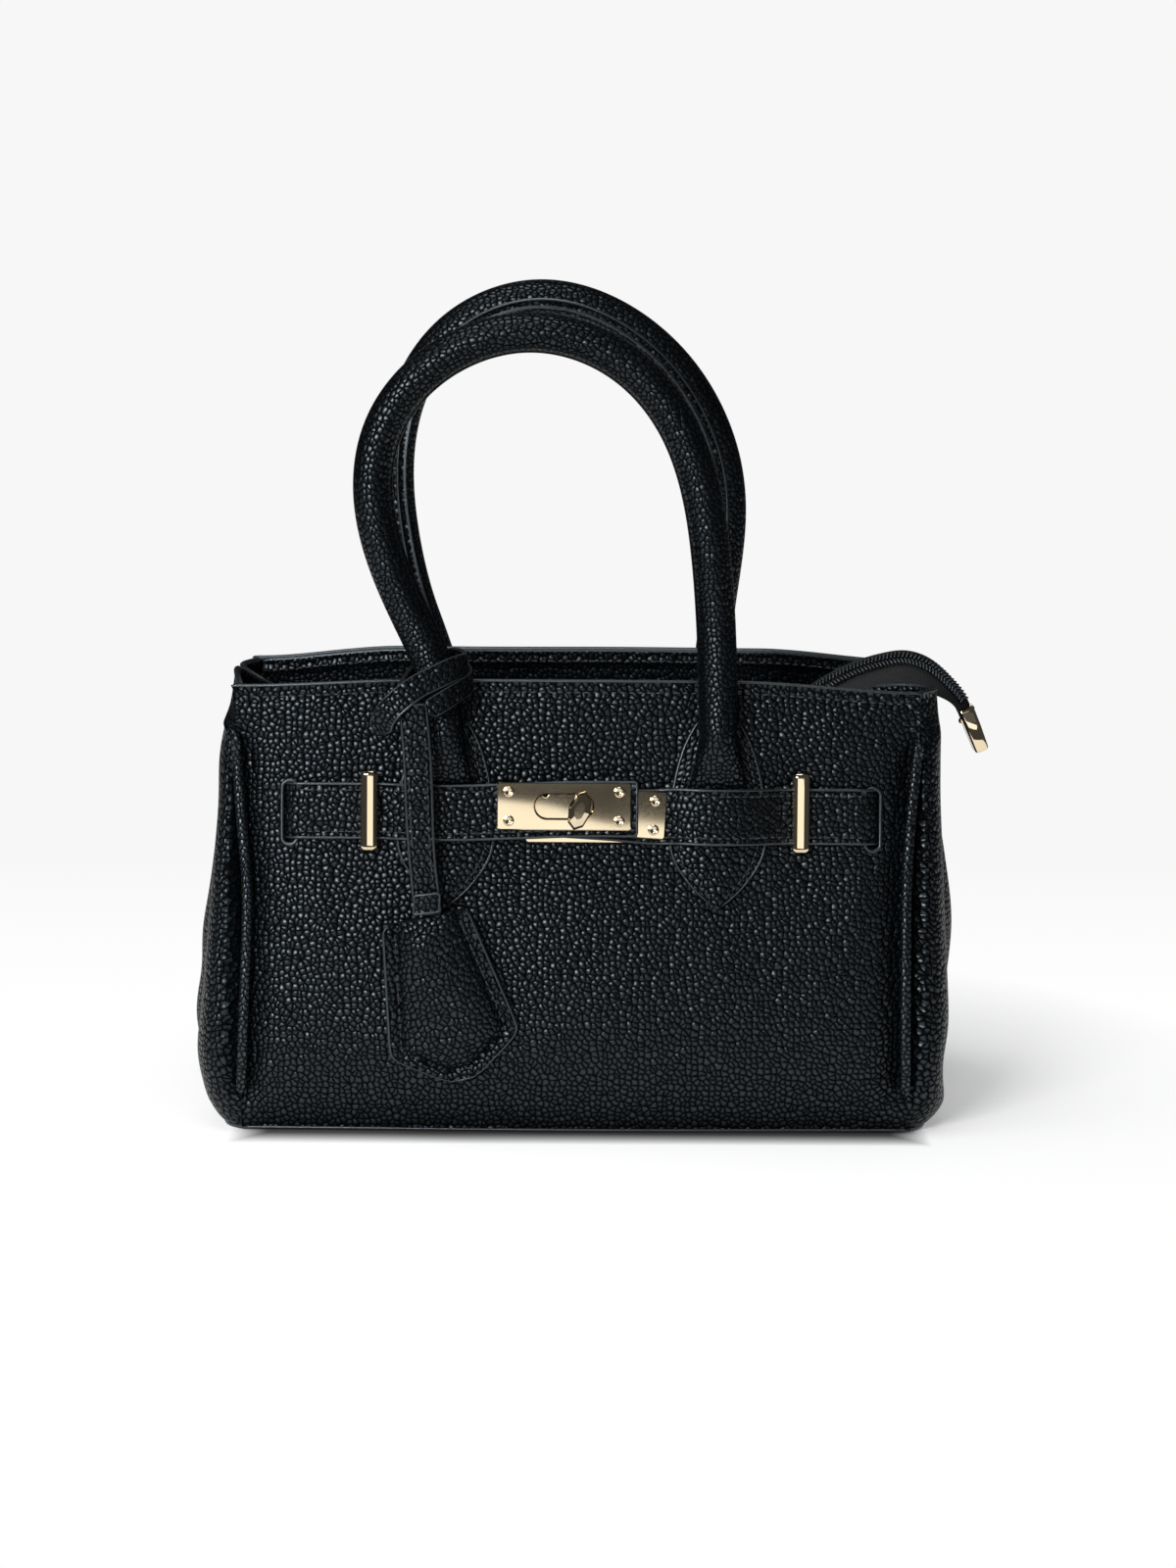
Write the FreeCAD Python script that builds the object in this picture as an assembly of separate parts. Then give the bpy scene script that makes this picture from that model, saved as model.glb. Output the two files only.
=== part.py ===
import FreeCAD, Part
import math
import os

Vec = FreeCAD.Vector

# A small leather tote with two rolled handles, a belted turn lock, a key fob and a recessed top zip.
# Millimetres. X runs to the viewer's right, the front faces -Y and Z is up from the floor.

# Body
rim_height = 170.0
rim_half_width = 129.0
floor_half_width = 126.0
rim_half_depth = 39.5
belly_half_depth = 57.0
belly_height = 45.0
floor_half_depth = 53.0
floor_gap = 1.2
leather = 2.0
seat_gap = 0.2
body_gap = 0.3

# Gussets: a hump beside each seam and a tuck between them
front_hump = 15.0
rear_hump = {"left": 25.0, "right": 20.0}
rim_hump = 2.0
tuck_fill = 8.0
rim_tuck = 16.0
hump_place = 0.55

# Base, lining and rim facings
board_thickness = 2.4
base_corner_radius = 6.0
lining_thickness = 0.8
facing_thickness = 1.6
facing_height = 32.0
lining_lap = 6.0

# Welts and base edges
welt_width = 4.0
welt_height = 3.6
welt_top_drop = 17.0
welt_low_height = 15.0
edge_height = 2.6
edge_thickness = 0.9

# Handles
handle_radius = 7.0
handle_core_radius = 5.0
handle_half_span = 51.0
handle_out = 7.6
pivot_rise = 20.0
stub_drop = 22.0
fold_angle = 80.0
handle_rise = {"front": 110.0, "back": 123.0}
handle_bases = {"front": (-11.0, -1.0), "back": (-13.0, 3.7)}
# Each handle's line: the share of its half span across, and of its rise upwards. Both lean to the left.
handle_line = {"front": ((-1.0, 0.0), (-1.21, 0.25), (-1.29, 0.46), (-1.225, 0.67), (-1.0, 0.84), (-0.25, 1.0),
                         (0.37, 0.885), (0.71, 0.68), (0.875, 0.47), (0.957, 0.26), (1.0, 0.0)),
               "back": ((-1.0, 0.0), (-1.115, 0.234), (-1.148, 0.384), (-1.057, 0.689), (-0.78, 0.884),
                        (-0.221, 1.0), (0.651, 0.82), (0.903, 0.651), (1.035, 0.464), (1.062, 0.312),
                        (1.0, 0.0))}

# Handle bases
base_leather = 1.6
base_half_width = 17.5
base_wide_drop = 56.0
base_tip_drop = 84.0
base_top_drop = 15.0
core_end_drop = 58.0

# Straps and keeper bars
strap_width = 19.4
strap_thickness = 1.6
left_strap_drop = 48.6
right_strap_drop = 49.8
slit_x = 109.5
slit_width = 7.0
slit_height = 26.0
strap_tail_x = 124.0
strap_over = 6.0
keeper_reach = {-1: 28.4, 1: 31.0}
keeper_drop = 48.4
keeper_width = 6.6
keeper_height = 29.2
keeper_depth = 4.6
keeper_post_radius = 1.2
keeper_post_inset = 2.0
washer_radius = 3.6
washer_thickness = 1.0

# Turn lock
plate_length = 50.0
plate_height = 17.6
plate_thickness = 1.4
plate_corner = 1.2
plate_shift = 6.6
plate_rise = {-1: 2.3, 1: 1.5}
right_plate_tilt = 3.5
slot_length = 21.6
slot_height = 9.0
tip_margin = 1.8
rivet_head_radius = 2.0
rivet_head_height = 0.6
rivet_shank_radius = 1.0
rivet_inset = 4.4
rivet_edge = 3.4
post_x = -0.8
post_drop = 47.8
base_drop = 49.6
base_length = 40.0
base_height = 20.4
base_thickness = 1.5
socket_radius = 2.2
shaft_radius = 1.2
shaft_clearance = 0.06
prong_radius = 1.2
prong_reach = 14.0
backing_margin = 4.0
knob_width = 8.4
knob_height = 15.0
knob_depth = 5.2
knob_tilt = 17.0

# Lanyard and fob
lanyard_width = 13.0
lanyard_thickness = 3.0
lanyard_x = -59.5
lanyard_length = 74.0
loop_thickness = 2.2
loop_reach = 9.0
loop_side_tilt = 20.0
loop_back_tilt = 38.0
loop_place = 0.58
tab_height = 6.0
fob_top_half = 17.5
fob_low_half = 26.0
fob_shoulder = 50.0
fob_length = 63.0
fob_leaf = 1.6
fob_dome = 4.2
fob_flange = 6.0
fob_tilt = 13.0

# Zip
zip_drop = 20.0
flap_thickness = 1.4
flap_end_gap = 23.0
tape_width = 11.0
tape_thickness = 0.8
coil_width = 5.4
coil_height = 2.4
coil_lead = 36.0
coil_end_gap = 4.0
slider_length = 13.0
slider_width = 9.0
slider_height = 6.2
slider_plate = 1.1
pull_length = 22.0
pull_width = 6.0
pull_thickness = 1.4
pull_lean = 7.0
ramp_angle = 28.0
ramp_bend_radius = 20.0
crest_inset = 0.8
level_run = 12.0
tail_radius = 29.0
tail_end_angle = 75.0
tail_joint_angle = 18.0
tail_joint_gap = 0.4
cap_top_width = 6.6
cap_low_width = 5.4
cap_depth = 6.2
cap_length = 17.0
cap_grip = 3.0
cap_screw_radius = 1.1
cap_screw_reach = 1.0

# Worked out from the sizes above
slope = math.atan2(belly_half_depth - rim_half_depth, rim_height - belly_height)
slope_sin = math.sin(slope)
slope_cos = math.cos(slope)
belly_drop = (rim_height - belly_height) / slope_cos
chord_y = belly_half_depth - floor_half_depth
chord_z = floor_gap - belly_height
belly_radius = (chord_y ** 2 + chord_z ** 2) / (2 * (chord_y * slope_cos - chord_z * slope_sin))
belly_y = -belly_half_depth + belly_radius * slope_cos
belly_z = belly_height - belly_radius * slope_sin
facing_in = leather + seat_gap
lining_in = facing_in + facing_thickness + seat_gap
zip_z = rim_height - zip_drop
tuck_x = rim_half_width + seat_gap - rim_tuck - leather
ramp = math.radians(ramp_angle)
crest_x = tuck_x + crest_inset
crest_z = rim_height + seat_gap + tape_thickness / 2 / math.cos(ramp) + crest_inset * math.tan(ramp)
ramp_foot_x = crest_x - (crest_z - zip_z) / math.tan(ramp)
slider_x = ramp_foot_x - ramp_bend_radius * math.tan(ramp / 2) - level_run
flap_left = flap_end_gap - rim_half_width
flap_right = slider_x - slider_length / 2 - coil_end_gap
coil_left = flap_left + coil_lead
coil_right = flap_right - coil_end_gap
zip_hinge_y = rim_half_depth + zip_drop * math.tan(slope) - (lining_in + lining_thickness) - 0.9
flap_hinge_z = zip_z + (flap_thickness + seat_gap + tape_thickness) / 2


def slope_point(x, drop, out):
    """A point on the sloping part of the front: drop below the rim, out from the leather."""
    y = -rim_half_depth - drop * slope_sin - out * slope_cos
    return Vec(x, y, rim_height - drop * slope_cos + out * slope_sin)


def belly_point(angle, out):
    """A point on the curved lower part of the front, by its angle about the curve's centre."""
    reach = belly_radius + out
    return Vec(0, belly_y - reach * math.cos(angle), belly_z + reach * math.sin(angle))


def belly_angle(height):
    return math.asin((height - belly_z) / belly_radius)


def half_width(height):
    return floor_half_width + (rim_half_width - floor_half_width) * height / rim_height


def half_depth(height):
    if height >= belly_height:
        return rim_half_depth + (rim_height - height) * math.tan(slope)
    return -belly_y + math.sqrt(belly_radius ** 2 - (height - belly_z) ** 2)


def face_placement():
    return FreeCAD.Placement(Vec(0, -rim_half_depth, rim_height),
                             FreeCAD.Rotation(Vec(1, 0, 0), -math.degrees(slope)))


def on_front(shape, x=0.0, drop=0.0, out=0.0):
    """Sets a piece modelled upright, with its outer side to -Y, on the sloping front."""
    place = face_placement().multiply(FreeCAD.Placement(Vec(x, -out, -drop), FreeCAD.Rotation()))
    return shape.transformed(place.toMatrix(), copy=True)


def to_back(shape):
    return shape.mirror(Vec(0, 0, 0), Vec(0, 1, 0))


def line(a, b):
    return Part.LineSegment(a, b).toShape()


def arc(a, b, c):
    return Part.Arc(a, b, c).toShape()


def face(edges):
    return Part.Face(Part.Wire(edges))


def polygon(points):
    return Part.Face(Part.makePolygon(points + points[:1]))


def box(low, high):
    size = high - low
    return Part.makeBox(size.x, size.y, size.z, low)


def rounded_plate(width, height, thickness, radius):
    """An upright plate centred on the origin, its back on y = 0 and its front at -Y."""
    plate = box(Vec(-width / 2, -thickness, -height / 2), Vec(width / 2, 0, height / 2))
    corners = [e for e in plate.Edges if abs(e.Vertexes[0].Y - e.Vertexes[1].Y) > thickness / 2]
    return plate.makeFillet(radius, corners)


def oval_hole(length, height, depth):
    """A cutter through y = 0 with round ends."""
    radius = height / 2
    middle = (length - height) / 2
    ends = [Part.makeCylinder(radius, 2 * depth, Vec(x, -depth, 0), Vec(0, 1, 0)) for x in (-middle, middle)]
    return box(Vec(-middle, -depth, -radius), Vec(middle, depth, radius)).fuse(ends)


def peg(radius, low, high, x=0.0, z=0.0):
    """A round peg along the outward direction, from out = low to out = high."""
    return Part.makeCylinder(radius, high - low, Vec(x, -low, z), Vec(0, -1, 0))


# Body shells

def wall_section(outer, inner, top_drop, low_height):
    """The upright section of a front layer between two distances out from the leather's face."""
    low = belly_angle(low_height)
    middle = (slope + low) / 2
    top = slope_point(0, top_drop, outer)
    turn = slope_point(0, belly_drop, outer)
    back_turn = slope_point(0, belly_drop, inner)
    back_top = slope_point(0, top_drop, inner)
    edges = [line(top, turn), arc(turn, belly_point(middle, outer), belly_point(low, outer)),
             line(belly_point(low, outer), belly_point(low, inner)),
             arc(belly_point(low, inner), belly_point(middle, inner), back_turn),
             line(back_turn, back_top), line(back_top, top)]
    return face(edges)


def side_trim(inset):
    """A prism as wide as the panels, which narrow a little towards the floor."""
    low, high = -belly_height, rim_height + belly_height
    corners = [Vec(-half_width(low) + inset, 0, low), Vec(half_width(low) - inset, 0, low),
               Vec(half_width(high) - inset, 0, high), Vec(-half_width(high) + inset, 0, high)]
    deep = 2 * belly_half_depth
    return polygon(corners).extrude(Vec(0, 2 * deep, 0)).translated(Vec(0, -deep, 0))


def wall(outer, inner, top_drop, low_height, inset):
    wide = 2 * rim_half_width
    slab = wall_section(outer, inner, top_drop, low_height).extrude(Vec(2 * wide, 0, 0))
    return slab.translated(Vec(-wide, 0, 0)).common(side_trim(inset))


def front_panel():
    panel = wall(0, -leather, 0, floor_gap, 0)
    deep = 3 * leather
    for side, drop in ((-1, left_strap_drop), (1, right_strap_drop)):
        middle = side * (slit_x + slit_width / 2)
        corner = Vec(slit_width / 2, deep, slit_height / 2)
        slit = box(-corner, corner)
        panel = panel.cut(on_front(slit, middle, drop))
        for end in keeper_ends():
            post = peg(keeper_post_radius + seat_gap / 2, -deep, deep)
            panel = panel.cut(on_front(post, keeper_x(side), keeper_drop - end))
    for side in (-1, 1):
        prong = peg(prong_radius + seat_gap / 2, -deep, deep)
        panel = panel.cut(on_front(prong, post_x + side * prong_reach, post_drop))
    return panel


def back_panel():
    return to_back(wall(0, -leather, 0, floor_gap, 0))


def facing():
    top = slope_point(0, 0, -facing_in)
    low = slope_point(0, facing_height, -facing_in)
    low_in = slope_point(0, facing_height, -facing_in - facing_thickness)
    top_in = slope_point(0, 0, -facing_in - facing_thickness)
    wide = 2 * rim_half_width
    slab = polygon([top, low, low_in, top_in]).extrude(Vec(2 * wide, 0, 0)).translated(Vec(-wide, 0, 0))
    return slab.common(side_trim(leather))


def wall_lining():
    low = base_stack_height() + seat_gap
    return wall(-lining_in, -lining_in - lining_thickness, facing_height - lining_lap, low, leather)


def gusset_curve(height, inset, rear):
    """A gusset's line at one height, from the front seam to the back seam, drawn on the right-hand side."""
    depth = half_depth(height)
    share = math.sin(math.pi * math.sqrt(min(height / rim_height, 1.0)))
    rise = (height / rim_height) ** 2
    seam = half_width(height) + seat_gap
    tuck = tuck_fill * share - rim_tuck * rise
    points = [Vec(seam, inset - depth, height),
              Vec(seam + front_hump * share + rim_hump * rise - inset, -hump_place * depth, height),
              Vec(seam + tuck - inset, 0, height),
              Vec(seam + rear * share + rim_hump * rise - inset, hump_place * depth, height),
              Vec(seam, depth - inset, height)]
    curve = Part.BSplineCurve()
    curve.interpolate(points)
    return curve


def gusset_section(height, outer, inner, rear):
    outside = gusset_curve(height, outer, rear)
    inside = gusset_curve(height, inner, rear)
    inside_edge = inside.toShape()
    inside_edge.reverse()
    return Part.Wire([outside.toShape(), line(outside.EndPoint, inside.EndPoint), inside_edge,
                      line(inside.StartPoint, outside.StartPoint)])


def folded_side(outer, inner, low, high, word):
    steps = (0.0, 0.04, 0.11, 0.25, 0.5, 0.75, 1.0)
    sections = [gusset_section(low + (high - low) * step, outer, inner, rear_hump[word]) for step in steps]
    shell = Part.makeLoft(sections, True, False)
    return to_left(shell) if word == "left" else shell


def gusset(word):
    return folded_side(0.0, leather, floor_gap, rim_height, word)


def side_lining(word):
    inner = leather + seat_gap
    low, high = base_stack_height() + seat_gap, rim_height - lining_lap
    return folded_side(inner, inner + lining_thickness, low, high, word)


def to_left(shape):
    return shape.mirror(Vec(0, 0, 0), Vec(1, 0, 0))


def base_layer(low, thickness, inset):
    half_x = floor_half_width - inset
    half_y = floor_half_depth - leather - inset
    plate = box(Vec(-half_x, -half_y, low), Vec(half_x, half_y, low + thickness))
    corners = [e for e in plate.Edges if abs(e.Vertexes[0].Z - e.Vertexes[1].Z) > thickness / 2]
    return plate.makeFillet(base_corner_radius, corners)


def base_stack_height():
    return leather + board_thickness + lining_thickness + 2 * seat_gap


def base_panel():
    return base_layer(0, leather, seat_gap)


def base_board():
    return base_layer(leather + seat_gap, board_thickness, leather)


def base_lining():
    return base_layer(leather + board_thickness + 2 * seat_gap, lining_thickness, leather)


def welt(side):
    """The raised seam beside a gusset, on the front; side is -1 for left."""
    section = wall_section(welt_height, seat_gap, welt_top_drop, welt_low_height)
    strip = section.extrude(Vec(welt_width, 0, 0))
    crests = [e for e in strip.Edges if abs(e.BoundBox.YMin - strip.BoundBox.YMin) < 4 * welt_height
              and e.BoundBox.ZLength > belly_height / 2 and e.Length > welt_width * 2]
    outer = [e for e in crests if on_outer_side(e)]
    strip = strip.makeFillet(welt_width * 0.3, outer)
    lean = math.degrees(math.atan2(rim_half_width - floor_half_width, rim_height))
    strip = strip.translated(Vec(-welt_width / 2, 0, 0))
    strip.rotate(Vec(0, 0, 0), Vec(0, 1, 0), side * lean)
    return strip.translated(Vec(side * (floor_half_width - welt_width / 2 - seat_gap), 0, 0))


def on_outer_side(edge):
    """Whether an edge of a front strip lies on its outer face."""
    middle = edge.valueAt((edge.FirstParameter + edge.LastParameter) / 2)
    return middle.y < -half_depth(middle.z) - welt_height / 2


def base_edge():
    low = belly_angle(floor_gap)
    high = belly_angle(floor_gap + edge_height)
    corners = [belly_point(low, seat_gap), belly_point(high, seat_gap),
               belly_point(high, seat_gap + edge_thickness), belly_point(low, seat_gap + edge_thickness)]
    half = floor_half_width - welt_width
    return polygon(corners).extrude(Vec(2 * half, 0, 0)).translated(Vec(-half, 0, 0))


# Handles

def base_outline():
    """The pear-shaped leather at a handle's foot, pointed below."""
    tip = Vec(0, 0, -base_tip_drop)
    shoulder = handle_radius + 0.5
    edges = [line(Vec(shoulder, 0, -base_top_drop), Vec(-shoulder, 0, -base_top_drop))]
    for side in (-1, 1):
        low = Vec(side * base_half_width * 0.66, 0, -base_tip_drop * 0.87)
        wide = Vec(side * base_half_width, 0, -base_wide_drop)
        high = Vec(side * base_half_width * 0.86, 0, -(base_wide_drop * 0.44 + base_top_drop * 0.56))
        pair = [arc(Vec(side * shoulder, 0, -base_top_drop), high, wide), arc(wide, low, tip)]
        edges += pair if side < 0 else pair[::-1]
    return face(edges)


def taper_section(drop, half, high, middle):
    """One level section of the padded foot, an oval whose middle stands out from the leather."""
    if abs(half - high) < 0.01:
        curve = Part.Circle(Vec(0, -middle, -drop), Vec(0, 0, 1), half)
    else:
        curve = Part.Ellipse(Vec(0, -middle, -drop), half, high)
    return Part.Wire(curve.toShape())


def pivot_drop():
    """How far below the rim the handle's pivot is, measured along the slope (it is above, so negative)."""
    return -(pivot_rise - handle_out * slope_sin) / slope_cos


def handle_base(side, lean):
    """A sewn foot, its padded taper and the fixed end of the handle up to its pivot."""
    plate = base_outline().extrude(Vec(0, -base_leather, 0)).translated(Vec(0, -seat_gap, 0))
    levels = [(core_end_drop, handle_radius, 0.9, base_leather),
              (core_end_drop - 12.0, handle_radius + 0.3, 1.9, base_leather),
              (core_end_drop - 24.0, handle_radius + 0.2, 4.2, 3.6),
              (stub_drop, handle_radius, handle_radius, handle_out)]
    taper = Part.makeLoft([taper_section(*level) for level in levels], True, False)
    ball = Part.makeSphere(handle_radius, stub_point(lean, 1.0))
    behind = box(Vec(-base_tip_drop, -seat_gap, -base_tip_drop), Vec(base_tip_drop, handle_radius, 0))
    solid = plate.fuse([taper, stub_tube(lean, handle_radius), ball]).cut(behind).removeSplitter()
    return on_front(solid, side * handle_half_span)


def stub_turn(lean):
    """How far the fixed end of a handle turns sideways from its foot to its pivot."""
    return 2 * math.atan2(lean, stub_drop - pivot_drop())


def stub_point(lean, share):
    """A point on the fixed end's line, an arc, by its share of the turn."""
    turn = stub_turn(lean)
    radius = lean / (1 - math.cos(turn))
    return Vec(radius * (1 - math.cos(share * turn)), -handle_out, radius * math.sin(share * turn) - stub_drop)


def stub_tube(lean, radius):
    foot = stub_point(lean, 0.0)
    path = Part.Wire([arc(foot, stub_point(lean, 0.5), stub_point(lean, 1.0))])
    ring = Part.Wire([Part.Circle(foot, Vec(0, 0, 1), radius).toShape()])
    return path.makePipeShell([ring], True, False)


def fold_clearance(side, lean):
    """What the fixed end fills, seen from a handle that is folded right out."""
    turn = stub_turn(lean)
    down = face_placement().Rotation.multVec(Vec(-math.sin(turn), 0, -math.cos(turn)))
    down = FreeCAD.Rotation(Vec(1, 0, 0), -fold_angle).multVec(down)
    clear = handle_radius + body_gap
    post = Part.makeCylinder(clear, 3 * handle_radius, pivot(side, lean), down)
    return post.fuse(Part.makeSphere(clear, pivot(side, lean)))


def pivot(side, lean):
    return slope_point(side * handle_half_span + lean, pivot_drop(), handle_out)


def handle_path(name):
    """Arcs through the handle's line, from pivot to pivot."""
    left, right = [pivot(side, lean) for side, lean in zip((-1, 1), handle_bases[name])]
    middle = (left.x + right.x) / 2
    half = (right.x - left.x) / 2
    points = [Vec(middle + share * half, left.y, left.z + rise * handle_rise[name])
              for share, rise in handle_line[name]]
    curve = Part.BSplineCurve()
    curve.interpolate(points)
    return Part.Wire([piece.toShape() for piece in curve.toBiArcs(0.05)])


def handle_tube(name, radius):
    path = handle_path(name)
    start = path.OrderedEdges[0]
    direction = start.tangentAt(start.FirstParameter)
    ring = Part.Wire([Part.Circle(start.valueAt(start.FirstParameter), direction, radius).toShape()])
    tube = path.makePipeShell([ring], True, False)
    for side, lean in zip((-1, 1), handle_bases[name]):
        tube = tube.cut(fold_clearance(side, lean))
    return tube


def handle_core(name):
    return handle_tube(name, handle_core_radius)


def handle_cover(name):
    return handle_tube(name, handle_radius).cut(handle_tube(name, handle_core_radius + seat_gap / 2))


# Straps, keeper bars and turn lock

def plate_out(side):
    """Where a strap plate's back lies: the left one is on top."""
    low = base_thickness + seat_gap + body_gap
    right = low + strap_thickness
    if side > 0:
        return right
    return right + plate_thickness + rivet_head_height + body_gap + strap_thickness


def band(points, thickness):
    """A bent strip of even thickness above a line of (across, out) points."""
    upper = []
    for i, (x, out) in enumerate(points):
        before = points[max(i - 1, 0)]
        after = points[min(i + 1, len(points) - 1)]
        first = math.atan2(out - before[1], x - before[0]) if i else None
        second = math.atan2(after[1] - out, after[0] - x) if i < len(points) - 1 else None
        first = second if first is None else first
        second = first if second is None else second
        heading = (first + second) / 2
        reach = thickness / math.cos((second - first) / 2)
        upper.append((x - reach * math.sin(heading), out + reach * math.cos(heading)))
    return polygon([Vec(x, -out, 0) for x, out in points + upper[::-1]])


def strap(side):
    """Half of the belt: sewn inside, out of its slit, over a handle's foot and under a plate."""
    inner = -leather - seat_gap - strap_thickness
    end = plate_out(side) - strap_thickness
    path = [(-strap_tail_x, inner), (-slit_x - slit_width + 0.5, inner), (-slit_x - 0.5, body_gap),
            (-handle_half_span - base_half_width - 5.0, body_gap),
            (-handle_half_span - handle_radius - 2.0, strap_over),
            (-handle_half_span + handle_radius + 2.0, strap_over),
            (-plate_length / 2 - plate_shift - 1.0, end), (1.5 - plate_length / 2 - plate_shift, end)]
    run = band(path, strap_thickness).extrude(Vec(0, 0, strap_width))
    run = run.translated(Vec(0, 0, -strap_width / 2))
    half = plate_length / 2 + tip_margin
    tip = box(Vec(-half, -end - strap_thickness, -strap_width / 2), Vec(half, -end, strap_width / 2))
    tip = tip.translated(Vec(0, 0, -plate_rise[side]))
    tip = tip.cut(oval_hole(slot_length, slot_height, 2 * rim_half_depth))
    for x, z in rivet_places():
        tip = tip.cut(peg(rivet_shank_radius + seat_gap / 4, -2 * leather, 2 * plate_out(-1), x, z))
    if side > 0:
        run = to_left(run)
    run = on_front(run, 0, left_strap_drop if side < 0 else right_strap_drop)
    return run.fuse(on_plate(tip, side, 0.0)).removeSplitter()


def on_plate(shape, side, out):
    """Sets a piece modelled about its plate's centre on the end of a strap; the right one hangs askew."""
    drop = (left_strap_drop if side < 0 else right_strap_drop) - plate_rise[side]
    if side > 0:
        shape = shape.copy()
        shape.rotate(Vec(0, 0, 0), Vec(0, 1, 0), right_plate_tilt)
    return on_front(shape, side * plate_shift, drop, out)


def rivet_places():
    x = plate_length / 2 - rivet_inset
    z = plate_height / 2 - rivet_edge
    return [(i * x, j * z) for i in (-1, 1) for j in (-1, 1)]


def lock_plate(side):
    plate = rounded_plate(plate_length, plate_height, plate_thickness, plate_corner)
    rim = [e for e in plate.Edges if abs(e.BoundBox.YMin + plate_thickness) < 0.01
           and e.BoundBox.YLength < 0.01]
    plate = plate.makeChamfer(plate_thickness * 0.25, rim)
    plate = plate.cut(oval_hole(slot_length, slot_height, 2 * plate_thickness))
    mouth = [e for e in plate.Edges if abs(e.BoundBox.YMin + plate_thickness) < 0.01
             and e.BoundBox.YLength < 0.01 and abs(e.CenterOfMass.x) < plate_length / 2 - rivet_inset
             and abs(e.CenterOfMass.z) < slot_height / 2 + 0.1]
    plate = plate.makeChamfer(plate_thickness * 0.4, mouth)
    for x, z in rivet_places():
        plate = plate.cut(peg(rivet_shank_radius + seat_gap / 4, -1, 2 * plate_thickness, x, z))
    return on_plate(plate, side, plate_out(side))


def plate_rivets(side):
    rivets = []
    sphere_radius = (rivet_head_radius ** 2 + rivet_head_height ** 2) / (2 * rivet_head_height)
    for x, z in rivet_places():
        top = plate_thickness + rivet_head_height
        head = Part.makeSphere(sphere_radius, Vec(x, sphere_radius - top, z))
        head = head.common(peg(rivet_head_radius, plate_thickness, 2 * top, x, z))
        shank = peg(rivet_shank_radius, -strap_thickness, plate_thickness, x, z)
        rivets.append(head.fuse(shank).removeSplitter())
    return on_plate(Part.makeCompound(rivets), side, plate_out(side))


def socket_height():
    return plate_out(-1) + plate_thickness


def lock_base():
    """The plate on the leather, the socket that the knob turns in and the prongs behind."""
    plate = rounded_plate(base_length, base_height, base_thickness, plate_corner)
    plate = plate.translated(Vec(0, 0, post_drop - base_drop))
    socket = peg(socket_radius, base_thickness / 2, socket_height())
    prongs = [peg(prong_radius, -leather - washer_thickness - seat_gap, base_thickness / 2, s * prong_reach)
              for s in (-1, 1)]
    solid = plate.fuse([socket] + prongs).removeSplitter()
    solid = solid.cut(peg(shaft_radius + shaft_clearance, base_thickness, 2 * socket_height()))
    return on_front(solid, post_x, post_drop, seat_gap)


def lock_backing():
    length = 2 * (prong_reach + backing_margin)
    plate = rounded_plate(length, 2 * backing_margin, washer_thickness, plate_corner)
    for side in (-1, 1):
        plate = plate.cut(peg(prong_radius + seat_gap / 4, -1, 2 * washer_thickness, side * prong_reach))
    return on_front(plate, post_x, post_drop, -leather - washer_thickness - seat_gap / 2)


def knob_outline(scale, out):
    wide, high = scale * knob_width / 2, scale * knob_height / 2
    points = [(0, -high), (wide * 0.7, -high * 0.72), (wide, 0), (wide * 0.7, high * 0.72), (0, high),
              (-wide * 0.7, high * 0.72), (-wide, 0), (-wide * 0.7, -high * 0.72)]
    return Part.makePolygon([Vec(x, -out, z) for x, z in points + points[:1]])


def turn_knob():
    """A faceted bead, longer than the slot is high, on a shaft in the socket."""
    low = socket_height() + body_gap
    levels = ((0.72, 0.0), (1.0, 0.42), (0.86, 0.72), (0.45, 1.0))
    bead = Part.makeLoft([knob_outline(scale, low + knob_depth * share) for scale, share in levels], True, True)
    shaft = peg(shaft_radius, base_thickness + body_gap, low + knob_depth * 0.3)
    knob = bead.fuse(shaft).removeSplitter()
    knob.rotate(Vec(0, 0, 0), Vec(0, 1, 0), knob_tilt)
    return on_front(knob, post_x, post_drop, seat_gap)


def keeper_x(side):
    """A keeper bar stands outside its handle's foot."""
    return side * (handle_half_span + keeper_reach[side])


def keeper_ends():
    reach = keeper_height / 2 - keeper_post_inset
    return (-reach, reach)


def keeper_bar(side):
    low = body_gap + strap_thickness + body_gap
    bar = box(Vec(-keeper_width / 2, -low - keeper_depth, -keeper_height / 2),
              Vec(keeper_width / 2, -low, keeper_height / 2))
    outer = [e for e in bar.Edges if e.BoundBox.YMin < -low - keeper_depth / 2]
    bar = bar.makeFillet(keeper_width * 0.24, outer)
    inside = -leather - washer_thickness - seat_gap
    posts = [peg(keeper_post_radius, inside, low + keeper_depth / 2, 0, z) for z in keeper_ends()]
    return on_front(bar.fuse(posts).removeSplitter(), keeper_x(side), keeper_drop)


def keeper_washers():
    washers = []
    for side in (-1, 1):
        for end in keeper_ends():
            disc = peg(washer_radius, -leather - washer_thickness - seat_gap / 2, -leather - seat_gap / 2)
            disc = disc.cut(peg(keeper_post_radius + seat_gap / 4, -3 * leather, 0))
            washers.append(on_front(disc, keeper_x(side), keeper_drop - end))
    return Part.makeCompound(washers)


# Lanyard and fob

def stadium(radius, reach, height):
    left = Part.makeCylinder(radius, height, Vec(-reach, 0, -height / 2))
    right = Part.makeCylinder(radius, height, Vec(0, 0, -height / 2))
    middle = box(Vec(-reach, -radius, -height / 2), Vec(0, radius, height / 2))
    return middle.fuse([left, right])


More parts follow.
